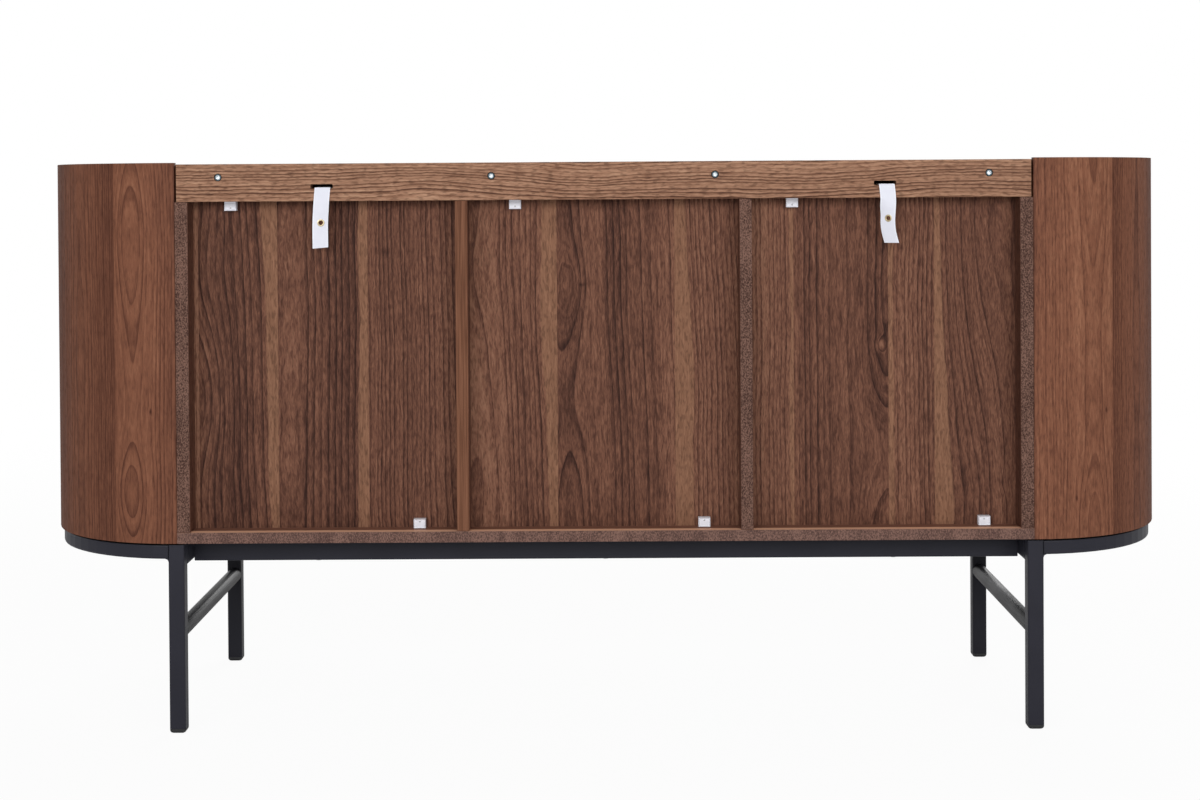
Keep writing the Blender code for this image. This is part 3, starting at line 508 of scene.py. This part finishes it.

# %% [markdown]
# ## Powder-coated steel
#
# Powder coating melts into a thin black skin with a faint orange-peel surface. Two noises make it:
# a slow one for the peel and a fine one for the grain of the powder. The colour stays nearly even,
# apart from painted shade towards the front and on the tops just under the body, and the
# roughness varies a little, which breaks up the highlights on the tubes. The round stretchers take
# a darker copy of the coat, which is painted shade.

# %% The black finish


def powder_coat(name, dark, light):
    """Satin black coating, with painted shade on the tops under the body and towards the front."""
    net = Net(name)
    x, y, z = net.place()
    peel = net.noise(x * 900.0, y * 900.0, z * 900.0, 2.0)
    grain = net.noise(x * 3500.0, y * 3500.0, z * 3500.0, 1.0)
    slow = net.noise(x * 14.0, y * 14.0, z * 14.0, 3.0)
    colour = net.blend(slow * 0.6 + grain * 0.4, dark, light)
    # Painted shade: towards the front, where the body shades the front legs, the coat turns darker.
    colour = net.blend(net.step(y, 0.10, -0.15) * 0.5, colour, paint(14, 14, 17))
    # Painted shade on the faces that look up just under the body, in the gap below the cabinet.
    joint = net.step(net.facing()[2], 0.6, 0.9) * net.step(z, 0.250, 0.256)
    colour = net.blend(joint, colour, paint(9, 9, 11))
    rough = 0.40 + (slow - 0.5) * 0.16 + (grain - 0.5) * 0.10
    return net.finish(colour, rough, (peel + grain * 0.3, 0.25, 0.00006),
                      Specular_IOR_Level=0.16)


BLACK = powder_coat("black_powder_coat", paint(34, 34, 41), paint(46, 46, 55))
# The stretchers take a darker copy of the same coat, which is painted shade.
BLACK_SHADED_ROUND = powder_coat("black_coat_shaded_for_round_tube", paint(19, 19, 23), paint(28, 28, 33))
STEEL_NAMES = [name for name in NODES if name.startswith(("leg", "end_band", "cross_beam",
                                                          "stretcher", "long_rail", "knob"))]
for name in STEEL_NAMES:
    dress(name, BLACK_SHADED_ROUND if name.startswith("stretcher") else BLACK)
print("steel pieces dressed:", len(STEEL_NAMES))

# %% [markdown]
# ## Plastic and zinc
#
# The panel clips are moulded in white plastic with a fine matt texture, and the foot glides in
# black. Bolts, pins and catches are zinc plated: the plating is bright but has a slightly cloudy
# look, which is a noise in the roughness.

# %% Finishes for the small hardware
BOLT_X = (0.153, 0.527)
BOLT_Z = 0.7645


def moulded(name, first, second, roughness):
    """Moulded plastic with a fine spark-eroded texture."""
    net = Net(name)
    x, y, z = net.place()
    grain = net.noise(x * 2600.0, y * 2600.0, z * 2600.0, 2.0)
    slow = net.noise(x * 90.0, y * 90.0, z * 90.0, 2.0)
    colour = net.blend(slow * 0.7 + grain * 0.3, first, second)
    return net.finish(colour, roughness + (grain - 0.5) * 0.12, (grain, 0.2, 0.00004))


def zinc_plate():
    """Bright zinc plating with a cloudy sheen."""
    net = Net("zinc_plate")
    x, y, z = net.place()
    cloud = net.noise(x * 260.0, y * 260.0, z * 260.0, 3.0)
    fine = net.noise(x * 2400.0, y * 2400.0, z * 2400.0, 1.0)
    colour = net.blend(cloud, paint(150, 153, 156), paint(206, 208, 208))
    rough = 0.24 + cloud * 0.16
    return net.finish(colour, rough, (fine, 0.12, 0.00003), Metallic=1.0)


def bolt_plate():
    """Zinc plating on the bolts of the rail, with a painted dark reflection round each head's rim.
    """
    net = Net("zinc_bolt_heads")
    x, y, z = net.place()
    far = net.maths("ABSOLUTE", x)
    off = net.maths("MINIMUM", *[net.maths("ABSOLUTE", far - bolt) for bolt in BOLT_X])
    up = z - BOLT_Z
    reach = net.maths("SQRT", off * off + up * up)
    cloud = net.noise(x * 500.0, y * 500.0, z * 500.0, 3.0)
    # Painted reflection: the rim of each head is darkened, as if it mirrored something dark.
    rim = net.step(reach + (cloud - 0.5) * 0.0012, 0.0018, 0.0032)
    bright = net.blend(cloud, paint(150, 158, 164), paint(222, 227, 229))
    colour = net.blend(rim, bright, paint(66, 75, 80))
    rough = 0.22 + cloud * 0.12 + rim * 0.15
    return net.finish(colour, rough, (cloud, 0.2, 0.00005), Metallic=1.0)


WHITE_PLASTIC = moulded("white_clip_plastic", paint(222, 223, 232), paint(236, 236, 242), 0.42)
BLACK_PLASTIC = moulded("black_glide_plastic", paint(24, 24, 26), paint(33, 33, 35), 0.55)
ZINC = zinc_plate()
BOLT_HEADS = bolt_plate()
for name in NODES:
    if name.startswith("clip"):
        dress(name, WHITE_PLASTIC)
    if name.startswith("glide"):
        dress(name, BLACK_PLASTIC)
    if name.startswith("rail_bolt"):
        dress(name, BOLT_HEADS)
    if name.startswith(("lower_pin", "upper_pin", "catch")):
        dress(name, ZINC)
print("hardware dressed")

# %% [markdown]
# ## Making pieces from points
#
# The small pieces are made as meshes in code. Most of them are turned, like on a lathe: a profile
# of radius and height is spun round an axis, with enough steps to look round close up. A recess,
# such as the cross in a screw head, is cut with a Boolean modifier, and the result is kept as a
# plain mesh. Each finished piece then rides on the body that carries it.

# %% Helpers for meshes


def new_object(name, bm, material, sharp=35.0):
    """Object from a bmesh, with smooth faces and sharp edges above an angle."""
    bmesh.ops.remove_doubles(bm, verts=bm.verts, dist=1e-7)
    bmesh.ops.recalc_face_normals(bm, faces=bm.faces)
    mesh = bpy.data.meshes.new(name)
    bm.to_mesh(mesh)
    bm.free()
    mesh.shade_smooth()
    mesh.set_sharp_from_angle(angle=math.radians(sharp))
    made = bpy.data.objects.new(name, mesh)
    bpy.context.scene.collection.objects.link(made)
    if material is not None:
        mesh.materials.append(material)
    return made


def turned(bm, profile, place, axis, sides):
    """Spin a profile of (radius, distance along the axis) about an axis through a place."""
    place = Vector(place)
    tilt = Vector(axis).to_track_quat("Z", "Y")
    verts = [bm.verts.new(place + tilt @ Vector((radius, 0, along))) for radius, along in profile]
    edges = [bm.edges.new(pair) for pair in zip(verts, verts[1:])]
    bmesh.ops.spin(bm, geom=verts + edges, cent=place, axis=axis, angle=math.tau,
                   steps=sides, use_merge=True)


def box(bm, low, high):
    """Block between two corners."""
    low, high = Vector(low), Vector(high)
    size = Matrix.Diagonal((high - low).to_4d())
    bmesh.ops.create_cube(bm, size=1.0, matrix=Matrix.Translation((low + high) / 2) @ size)


def between(bm, start, end):
    """Closed body between two rings of points."""
    for i in range(len(start)):
        j = (i + 1) % len(start)
        bm.faces.new((start[i], start[j], end[j], end[i]))
    bm.faces.new(start)
    bm.faces.new(end[::-1])


def carve(target, bm):
    """Cut a shape out of an object, and keep the result as its mesh."""
    tool = new_object("carving_tool", bm, None)
    modifier = target.modifiers.new("carve", "BOOLEAN")
    modifier.operation = "DIFFERENCE"
    modifier.solver = "EXACT"
    modifier.object = tool
    bpy.context.view_layer.update()
    graph = bpy.context.evaluated_depsgraph_get()
    carved = bpy.data.meshes.new_from_object(target.evaluated_get(graph))
    target.modifiers.clear()
    target.data = carved
    bpy.data.objects.remove(tool)


def arc(centre, radius, start, end, steps):
    """Points on a circle between two angles in degrees."""
    points = []
    for i in range(steps + 1):
        angle = math.radians(start + (end - start) * i / steps)
        points.append((centre[0] + radius * math.cos(angle), centre[1] + radius * math.sin(angle)))
    return points


def settle(piece, body):
    """A finished piece rides on a body."""
    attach(piece, body)


print("mesh helpers ready")

# %% [markdown]
# ## Anti-tip straps
#
# Each strap is a piece of white webbing that comes out of a slot and hangs down the rail. It is
# built as a ribbon: a grid of points along the strap and across it, given a thickness, so the
# selvedges can be rounded and the hanging part can lean and twist. The weave is fine for a mesh,
# so it is a bump in the finish: warp ribs along the strap, crossed by the weft.

# %% Webbing finish
STRAP_W = 0.0212
STRAP_T = 0.0012
WEFT = 0.00155
WARP = 0.0013


def webbing():
    """White woven webbing, with bright selvedges."""
    net = Net("white_webbing_weave")
    u, v, _ = net.split(net.wire("UVMap", {"uv_map": "weave"}, {}))
    weft = net.maths("SINE", v * (math.tau / WEFT))
    warp = net.maths("SINE", u * (math.tau / WARP) + net.maths("SIGN", weft) * (math.pi / 2))
    fuzz = net.noise(u * 2500.0, v * 2500.0, 0.0, 2.0)
    weave = warp * 0.5 + weft * 0.35 + fuzz * 0.4
    slow = net.noise(u * 60.0, v * 60.0, 3.0, 2.0)
    rim = net.step(net.maths("ABSOLUTE", u - STRAP_W / 2), STRAP_W / 2 - 0.0016,
                   STRAP_W / 2 - 0.0008)
    tone = net.step(weave, -0.9, 0.9) * 0.5 + slow * 0.3 + rim * 0.4
    colour = net.blend(tone, paint(208, 210, 224), paint(240, 241, 248))
    return net.finish(colour, 0.85 + (fuzz - 0.5) * 0.1, (weave, 0.5, 0.0002),
                      Sheen_Weight=0.15, Sheen_Roughness=0.5)


WEBBING = webbing()
print("webbing ready")

# %% [markdown]
# The two straps hang alike but not the same. Each has its own drop and lean, and both twist below
# the rail, where their inner edges swing in towards the panels. A strap's line starts as a tail in
# the pocket, runs through the slot, turns over the slot's lower edge in a quarter circle and hangs
# with a slight bow.

# %% The line of a strap
STRAP_X = 0.385
STRAP_BOW = 0.0008
STRAP_TAIL = 0.040
STRAP_CLEAR = 0.0006
SLOT_FLOOR = 0.7486
RAIL_IN = 0.192
SEAT = 0.0003
TWIST_START = 0.0182
TWIST_RUN = 0.025
SELVEDGE_THINNING = 0.6
TAIL_STEPS = 6
TURN_STEPS = 6
HANG_STEPS = 30
COLUMNS = 14
STRAPS = {
    "left": {"side": -1, "drop": 0.0792, "eyelet": 0.0455, "off": 0.0022, "drift": 0.0057,
             "arch": -0.0021, "wave": 0.0018, "twist": 31, "slant": 0.0},
    "right": {"side": 1, "drop": 0.0821, "eyelet": 0.0474, "off": -0.0013, "drift": 0.0033,
              "arch": 0.0013, "wave": 0.0, "twist": 17, "slant": 0.0015},
}


def smooth(value):
    """Smooth rise from 0 to 1."""
    value = min(max(value, 0.0), 1.0)
    return value * value * (3 - 2 * value)


def strap_line(lie):
    """Side view of a strap's middle: (y, z, drop below the slot's floor) from tail to end."""
    half = STRAP_T / 2
    flat = SLOT_FLOOR + SEAT + half
    turn = STRAP_CLEAR + half
    line = []
    for i in range(TAIL_STEPS - 1):
        line.append((RAIL_IN - STRAP_TAIL + i * STRAP_TAIL / TAIL_STEPS, flat, 0.0))
    line += [(RAIL_IN, SLOT_FLOOR + turn, 0.0), (BACK, SLOT_FLOOR + turn, 0.0)]
    for i in range(1, TURN_STEPS + 1):
        angle = math.radians(90 - 90 * i / TURN_STEPS)
        line.append((BACK + turn * math.cos(angle), SLOT_FLOOR + turn * math.sin(angle), 0.0))
    for i in range(1, HANG_STEPS + 1):
        drop = lie["drop"] * i / HANG_STEPS
        line.append((BACK + turn + strap_bow(lie, drop), SLOT_FLOOR - drop, drop))
    return line


def strap_bow(lie, drop):
    """How far the hanging strap stands off the rail, at a drop below the slot's floor."""
    return STRAP_BOW * math.sin(math.pi * drop / lie["drop"]) ** 2


def strap_point(lie, y, z, off, drop, t, thick):
    """Point of a strap: t runs from its outer edge to its inner one, which swings inwards."""
    side = lie["side"]
    share = drop / lie["drop"]
    angle = math.radians(lie["twist"]) * smooth((drop - TWIST_START) / TWIST_RUN)
    out = lie["off"] + lie["drift"] * share + lie["arch"] * math.sin(math.pi * share)
    out += lie["wave"] * math.sin(2 * math.pi * share)
    edge = Vector((side * (STRAP_X + STRAP_W / 2 + out), y, z))
    lean = Vector((-side * math.sin(angle) * off.x, math.cos(angle) * off.x, off.y))
    run = Vector((-side * math.cos(angle), -math.sin(angle), 0.0)) * STRAP_W
    run.z = lie["slant"] * share
    return edge + run * t + lean * thick


print("a strap has", TAIL_STEPS + TURN_STEPS + HANG_STEPS + 1, "rows of", COLUMNS + 1, "points")

# %% [markdown]
# The ribbon is two grids of points, half the thickness to either side of that line and closer
# together at the selvedges. Faces close each grid, and a rim joins the two. Each corner also keeps
# its place in the flat, cut strap, which the weave of the finish follows.

# %% The straps
EYELET_SIDE = -0.0007
EYELET_HOLE_R = 0.0035
EYELET_HOLE_REACH = 0.004


def strap_layers(bm, lie, line):
    """Grids of points on the outer and on the inner face of a strap."""
    layers = []
    for face in (1, -1):
        grid = []
        for i, (y, z, drop) in enumerate(line):
            before = line[max(i - 1, 0)]
            after = line[min(i + 1, len(line) - 1)]
            along = Vector((after[0] - before[0], after[1] - before[1])).normalized()
            off = Vector((-along.y, along.x))
            row = []
            for j in range(COLUMNS + 1):
                t = j / COLUMNS
                thick = STRAP_T / 2 * (1 - SELVEDGE_THINNING * abs(2 * t - 1) ** 8) * face
                row.append(bm.verts.new(strap_point(lie, y, z, off, drop, t, thick)))
            grid.append(row)
        layers.append(grid)
    return layers


def rim_face(outer, inner, places):
    """Face between the two layers, along two neighbouring places at their rim."""
    corners = [outer[a][b] for a, b in places] + [inner[a][b] for a, b in places[::-1]]
    return corners, places + places[::-1]


def strap_faces(outer, inner):
    """Each face of a strap: its corners, and their places in the grid as (row, column)."""
    last = len(outer) - 1
    faces = []
    for i in range(last):
        for j in range(COLUMNS):
            places = [(i, j), (i, j + 1), (i + 1, j + 1), (i + 1, j)]
            faces.append(([outer[a][b] for a, b in places], places))
            faces.append(([inner[a][b] for a, b in places[::-1]], places[::-1]))
        faces += [rim_face(outer, inner, [(i, j), (i + 1, j)]) for j in (0, COLUMNS)]
    for i in (0, last):
        faces += [rim_face(outer, inner, [(i, j), (i, j + 1)]) for j in range(COLUMNS)]
    return faces


def make_strap(name, lie):
    """Ribbon with rounded selvedges along a strap's line, and the length it was cut to."""
    line = strap_line(lie)
    lengths = [0.0]
    for before, after in zip(line, line[1:]):
        lengths.append(lengths[-1] + math.dist(before[:2], after[:2]))
    bm = bmesh.new()
    uv = bm.loops.layers.uv.new("weave")
    for corners, places in strap_faces(*strap_layers(bm, lie, line)):
        face = bm.faces.new(corners)
        for loop, (i, j) in zip(face.loops, places):
            loop[uv].uv = (j / COLUMNS * STRAP_W, lengths[i])
    strap = new_object("strap_webbing_" + name, bm, WEBBING, 60.0)
    return strap, lengths[-1]


EYELET_PLACES = {}
for name, lie in STRAPS.items():
    strap, length = make_strap(name, lie)
    drop = lie["eyelet"]
    y = BACK + STRAP_CLEAR + STRAP_T / 2 + strap_bow(lie, drop)
    z = SLOT_FLOOR - drop
    flat_off = Vector((1.0, 0.0))
    at = strap_point(lie, y, z, flat_off, drop, 0.5, 0.0)
    normal = strap_point(lie, y, z, flat_off, drop, 0.5, 1.0) - at
    across = strap_point(lie, y, z, flat_off, drop, 1.0, 0.0) - at
    at += across.normalized() * EYELET_SIDE * -lie["side"]
    EYELET_PLACES[name] = (at, normal)
    hole = bmesh.new()
    profile = [(0, -EYELET_HOLE_REACH), (EYELET_HOLE_R, -EYELET_HOLE_REACH),
               (EYELET_HOLE_R, EYELET_HOLE_REACH), (0, EYELET_HOLE_REACH)]
    turned(hole, profile, at, normal, 32)
    carve(strap, hole)
    settle(strap, "carcass")
    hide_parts("anti_tip_strap_" + name)
    print(strap.name, "cut length", round(length, 4), "eyelet at", at)

# %% [markdown]
# ## Eyelets
#
# A brass-coloured eyelet is rolled from a thin tube: a barrel through the webbing and a rounded
# flange on each side. Its profile is a closed loop, the same above and below the webbing, and is
# spun once round the hole.

# %% The eyelets
EYELET_FLANGE_R = 0.0050
EYELET_BORE_R = 0.0029


def brass():
    """Pale nickel-brass, cloudy in colour and roughness."""
    net = Net("pale_brass")
    x, y, z = net.place()
    cloud = net.noise(x * 700.0, y * 700.0, z * 700.0, 3.0)
    colour = net.blend(cloud, paint(150, 132, 98), paint(214, 200, 166))
    return net.finish(colour, 0.22 + cloud * 0.2, (cloud, 0.1, 0.00002), Metallic=1.0)


BRASS = brass()
half = STRAP_T / 2
upper = [(EYELET_BORE_R, half), (EYELET_BORE_R + 0.0003, half + 0.0003),
         (EYELET_BORE_R + 0.0009, half + 0.00042), (EYELET_FLANGE_R - 0.0004, half + 0.0003),
         (EYELET_FLANGE_R, half + 0.00005), (EYELET_FLANGE_R - 0.0002, half - 0.0001),
         (EYELET_BORE_R + 0.0006, half - 0.0001)]
lower = [(radius, -level) for radius, level in upper[::-1]]
for name, (at, normal) in EYELET_PLACES.items():
    bm = bmesh.new()
    turned(bm, lower[-1:] + upper + lower, at, normal, 36)
    eyelet = new_object("strap_eyelet_" + name, bm, BRASS, 50.0)
    settle(eyelet, "carcass")
print("eyelets made")

# %% [markdown]
# ## Screws
#
# Six pan-head screws come up through the long rails and hold the cabinet on its base. Their heads
# show under the rails. Smaller screws sit in the panel clips and in the strike plates. All have a
# cross recess, which is a tapered plus sign cut out of a turned head.

# %% A screw
PAN_HEAD = ((0.45, 0.97), (0.75, 0.84), (0.92, 0.6), (1.0, 0.25), (1.0, 0.0))
RECESS_ARM = 0.62
RECESS_SLOT = 0.16
RECESS_RINGS = ((1.0, 1.5), (0.55, 0.25))


def cross_recess(radius, height):
    """Tapered plus sign that cuts the recess of a head."""
    arm = radius * RECESS_ARM
    slot = radius * RECESS_SLOT
    corner = [(arm, -slot), (arm, slot), (slot, slot)]
    plus = [Matrix.Rotation(math.radians(90 * turn), 2) @ Vector(point)
            for turn in range(4) for point in corner]
    bm = bmesh.new()
    rings = [[bm.verts.new((*(point * share), height * level)) for point in plus]
             for share, level in RECESS_RINGS]
    between(bm, *rings)
    return bm


def screw(name, place, axis, sizes):
    """Screw with its head outwards along the axis: the place is under the head."""
    radius, height, shank_r, shank = sizes
    profile = [(0, height)]
    profile += [(radius * out, height * up) for out, up in PAN_HEAD]
    profile += [(shank_r, 0.0), (shank_r, -shank), (0, -shank)]
    bm = bmesh.new()
    turned(bm, profile, (0, 0, 0), (0, 0, 1), 28)
    made = new_object(name, bm, ZINC, 40.0)
    carve(made, cross_recess(radius, height))
    tilt = Vector(axis).to_track_quat("Z", "Y").to_matrix().to_4x4()
    made.data.transform(Matrix.Translation(place) @ tilt)
    return made


print("screw helper ready")

# %% [markdown]
# The sizes of a screw are the radius and height of its head and the radius and length of its shank.
# The frame screws stand under the two long rails, three to a rail. The screw of a top clip sits a
# little below the clip's middle, and that of a bottom clip a little above it.

# %% Screws in the base and in the clips
FRAME_SCREW = (0.0055, 0.0014, 0.0025, 0.030)
FRAME_SCREW_X = 0.405
LONG_RAIL_Y = 0.1325
LONG_RAIL_UNDER = 0.2255
for row, across in (("front", -1), ("rear", 1)):
    for number, x in enumerate((-FRAME_SCREW_X, 0.0, FRAME_SCREW_X), start=1):
        head = screw("frame_screw_" + row + "_" + str(number),
                     (x, across * LONG_RAIL_Y, LONG_RAIL_UNDER), (0, 0, -1), FRAME_SCREW)
        settle(head, "carcass")

CLIP_SCREW = (0.00122, 0.0005, 0.0008, 0.0095)
CLIP_SCREW_OFF = 0.0025
CLIP_FACE = 0.1831
CLIPS = {name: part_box(name) for name in NODES if name.startswith("clip")}
for name, (low, high) in CLIPS.items():
    away = -1 if "top" in name else 1
    z = (low.z + high.z) / 2 + away * CLIP_SCREW_OFF
    head = screw("screw_of_" + name, ((low.x + high.x) / 2, CLIP_FACE, z), (0, 1, 0), CLIP_SCREW)
    settle(head, "carcass")
print("screws made:", 6 + len(CLIPS))

# %% [markdown]
# ## Strike plates and knobs
#
# Each door has a thin steel plate where the magnet of the catch meets it, held by two screws. The
# knobs of the frame are coarse, so finer turned ones stand for them: a foot, a slim neck and a
# rounded head, in one outline with the stud that runs into the door.

# %% Strike plates and knobs
DOOR_FACE = -0.188
DOOR_BACK = -0.170
PLATE_HALF_W = 0.018
PLATE_HALF_H = 0.0055
PLATE_T = 0.0005
PLATE_CORNER = 0.0018
PLATE_SCREW_X = 0.012
PLATE_SCREW_SEAT = 0.0004
PLATE_SCREW = (0.0022, 0.00025, 0.0009, 0.009)
KNOB_PROFILE = [(0, -0.014), (0.002, -0.014), (0.002, 0), (0.0072, 0), (0.0075, 0.0003),
                (0.0075, 0.0012), (0.0072, 0.0017), (0.0058, 0.0024), (0.0051, 0.0034),
                (0.0049, 0.0050), (0.0049, 0.0086), (0.0052, 0.0100), (0.0062, 0.0111),
                (0.0082, 0.0121)]
KNOB_PROFILE += arc((0.0088, 0.0158), 0.0037, -75, 62, 9)
KNOB_PROFILE += [(0.0085, 0.0193), (0.0050, 0.0195), (0, 0.0195)]
for bay in BAYS:
    low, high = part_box("catch_" + bay)
    x = (low.x + high.x) / 2
    z = (low.z + high.z) / 2
    bm = bmesh.new()
    box(bm, (x - PLATE_HALF_W, DOOR_BACK, z - PLATE_HALF_H),
        (x + PLATE_HALF_W, DOOR_BACK + PLATE_T, z + PLATE_HALF_H))
    corners = [edge for edge in bm.edges
               if abs(edge.verts[0].co.y - edge.verts[1].co.y) > PLATE_T / 2]
    bmesh.ops.bevel(bm, geom=corners, offset=PLATE_CORNER, segments=4, affect="EDGES", profile=0.5)
    plate = new_object("strike_plate_" + bay, bm, ZINC)
    settle(plate, "door_" + bay)
    for number, off in enumerate((-PLATE_SCREW_X, PLATE_SCREW_X), start=1):
        head = screw("strike_screw_" + bay + "_" + str(number),
                     (x + off, DOOR_BACK + PLATE_SCREW_SEAT, z), (0, 1, 0), PLATE_SCREW)
        settle(head, "door_" + bay)

    low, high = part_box("knob_" + bay)
    at = ((low.x + high.x) / 2, DOOR_FACE - SEAT, (low.z + high.z) / 2)
    bm = bmesh.new()
    turned(bm, KNOB_PROFILE, at, (0, -1, 0), 48)
    knob = new_object("turned_knob_" + bay, bm, BLACK, 40.0)
    settle(knob, "door_" + bay)
    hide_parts("knob_" + bay)
print("plates and knobs made:", len(BAYS))

# %% [markdown]
# ## Welds
#
# The tubes of the base are welded. Under each half-round tube, where it meets a leg, the weld shows
# as a small hollow fillet, which is one outline drawn out along the tube's width.

# %% The welds
BAND_UNDER = 0.2405
LEG_OUT = 0.601
WELD_R = 0.0036
WELD_INTO_LEG = 0.0004
WELD_INTO_BAND = 0.0006
WELD_SPAN = (0.1845, 0.2040)
hollow = arc((WELD_R, -WELD_R), WELD_R, 180, 90, 6)
outline = [(-WELD_INTO_LEG, WELD_INTO_BAND), (-WELD_INTO_LEG, -WELD_R), *hollow,
           (WELD_R, WELD_INTO_BAND)]
for side_name, side in (("left", -1), ("right", 1)):
    for row, across in (("front", -1), ("rear", 1)):
        bm = bmesh.new()
        rings = [[bm.verts.new((side * (LEG_OUT + u), across * y, BAND_UNDER + v))
                  for u, v in outline] for y in WELD_SPAN]
        between(bm, *rings)
        weld = new_object("weld_" + row + "_" + side_name, bm, BLACK, 40.0)
        settle(weld, "carcass")
print("welds made")

# %% [markdown]
# ## Floor, lights and camera
#
# The photograph is cut out on white. The floor and the world show white to the camera, and the
# floor keeps a soft shadow. Two wide lamps stand behind the camera, one to each side, so that the
# rail throws only a soft shadow on the set-in panels. A third lamp lights the doors from the front.

# %% The floor and the world
FLOOR_HALF = 30
FLOOR_GLOW = 0.94
WORLD_LIGHT = 0.36


def make_floor():
    """Pale floor with its edges far outside the view."""
    bm = bmesh.new()
    for x, y in ((-1, -1), (1, -1), (1, 1), (-1, 1)):
        bm.verts.new((x * FLOOR_HALF, y * FLOOR_HALF, 0.0))
    bm.faces.new(bm.verts)
    mesh = bpy.data.meshes.new("floor")
    bm.to_mesh(mesh)
    bm.free()
    floor = bpy.data.objects.new("floor", mesh)
    bpy.context.scene.collection.objects.link(floor)
    net = Net("pale_floor")
    x, y, _ = net.place()
    far = net.step(net.maths("SQRT", x * x + y * y), 1.0, 3.5)
    seen = net.wire("LightPath", {}, {}, "Is Camera Ray")
    matt = net.wire("BsdfDiffuse", {}, {"Color": paint(250, 250, 250)})
    glow = net.wire("Emission", {}, {"Color": (1, 1, 1, 1), "Strength": 1.0})
    share = seen * (FLOOR_GLOW + far * (1 - FLOOR_GLOW))
    mixed = net.wire("MixShader", {}, {0: share, 1: matt, 2: glow})
    net.add("OutputMaterial", {}, {"Surface": mixed})
    mesh.materials.append(net.material)


def make_world(strength):
    """Even grey light from all round, and white where the camera or a gloss looks at it."""
    world = bpy.data.worlds.new("studio")
    bpy.context.scene.world = world
    world.use_nodes = True
    nodes = world.node_tree.nodes
    links = world.node_tree.links
    nodes.clear()
    path = nodes.new("ShaderNodeLightPath")
    direct = path.outputs["Is Camera Ray"]
    for ray in ("Is Glossy Ray", "Is Transmission Ray"):
        either = nodes.new("ShaderNodeMath")
        either.operation = "MAXIMUM"
        links.new(direct, either.inputs[0])
        links.new(path.outputs[ray], either.inputs[1])
        direct = either.outputs[0]
    level = nodes.new("ShaderNodeMapRange")
    links.new(direct, level.inputs["Value"])
    level.inputs["To Min"].default_value = strength
    level.inputs["To Max"].default_value = 1.0
    background = nodes.new("ShaderNodeBackground")
    background.inputs["Color"].default_value = (1.0, 1.0, 1.0, 1.0)
    links.new(level.outputs[0], background.inputs["Strength"])
    output = nodes.new("ShaderNodeOutputWorld")
    links.new(background.outputs[0], output.inputs[0])


make_floor()
make_world(WORLD_LIGHT)
print("floor and world ready")

# %% [markdown]
# The camera stands where the fit to the photograph puts it: a long lens, almost level, with the
# picture shifted down. It pans, tilts and rolls by less than a degree.

# %% The lamps and the camera
CAMERA_AT = Vector((-0.0093, 2.7317, 0.7486))
CAMERA_LENS = 55.37
CAMERA_SHIFT = -0.159
CAMERA_PAN = 0.312
CAMERA_TILT = -0.697
CAMERA_ROLL = 0.368

# Each lamp: its place, the point it is turned to, its size in metres and its power in watts
LAMPS = {
    "soft_box_-1": ((-1.3, 3.6, 1.6), (0, 0, 0.5), (2.4, 1.2), 50),
    "soft_box_1": ((1.3, 3.6, 1.6), (0, 0, 0.5), (2.4, 1.2), 50),
    "front_lamp": ((-1.2, -3.6, 2.2), (0, 0, 0.45), (2.5, 2.0), 75),
}


def make_lamp(name, place, aim, size, power):
    """Soft rectangular lamp at a place, turned to a point."""
    data = bpy.data.lights.new(name, "AREA")
    data.shape = "RECTANGLE"
    data.size, data.size_y = size
    data.energy = power
    lamp = bpy.data.objects.new(name, data)
    lamp.location = place
    direction = Vector(aim) - Vector(place)
    lamp.rotation_euler = direction.to_track_quat("-Z", "Y").to_euler()
    bpy.context.scene.collection.objects.link(lamp)


def make_camera():
    """Camera where the photograph was taken from, with the picture shifted down."""
    data = bpy.data.cameras.new("camera")
    data.sensor_width = 36.0
    data.lens = CAMERA_LENS
    data.shift_y = CAMERA_SHIFT
    data.clip_end = 100.0
    camera = bpy.data.objects.new("camera", data)
    bpy.context.scene.collection.objects.link(camera)
    turn = (Matrix.Rotation(math.radians(CAMERA_PAN), 3, "Z")
            @ Matrix.Rotation(math.radians(CAMERA_TILT), 3, "X")
            @ Matrix.Rotation(math.radians(CAMERA_ROLL), 3, "Y"))
    half_turn = Matrix.Rotation(math.pi, 3, "Z")
    right = half_turn @ turn @ Vector((1, 0, 0))
    ahead = half_turn @ turn @ Vector((0, 1, 0))
    up = half_turn @ turn @ Vector((0, 0, 1))
    axes = Matrix((right, up, -ahead)).transposed()
    camera.matrix_world = Matrix.Translation(CAMERA_AT) @ axes.to_4x4()
    bpy.context.scene.camera = camera


for name, settings in LAMPS.items():
    make_lamp(name, *settings)
make_camera()
bpy.context.scene.view_settings.view_transform = "Standard"
print("stage ready")

# %% [markdown]
# ## Finishing
#
# The view layer is updated once more, so that every piece sits where it was put.

# %% Finish
bpy.context.view_layer.update()
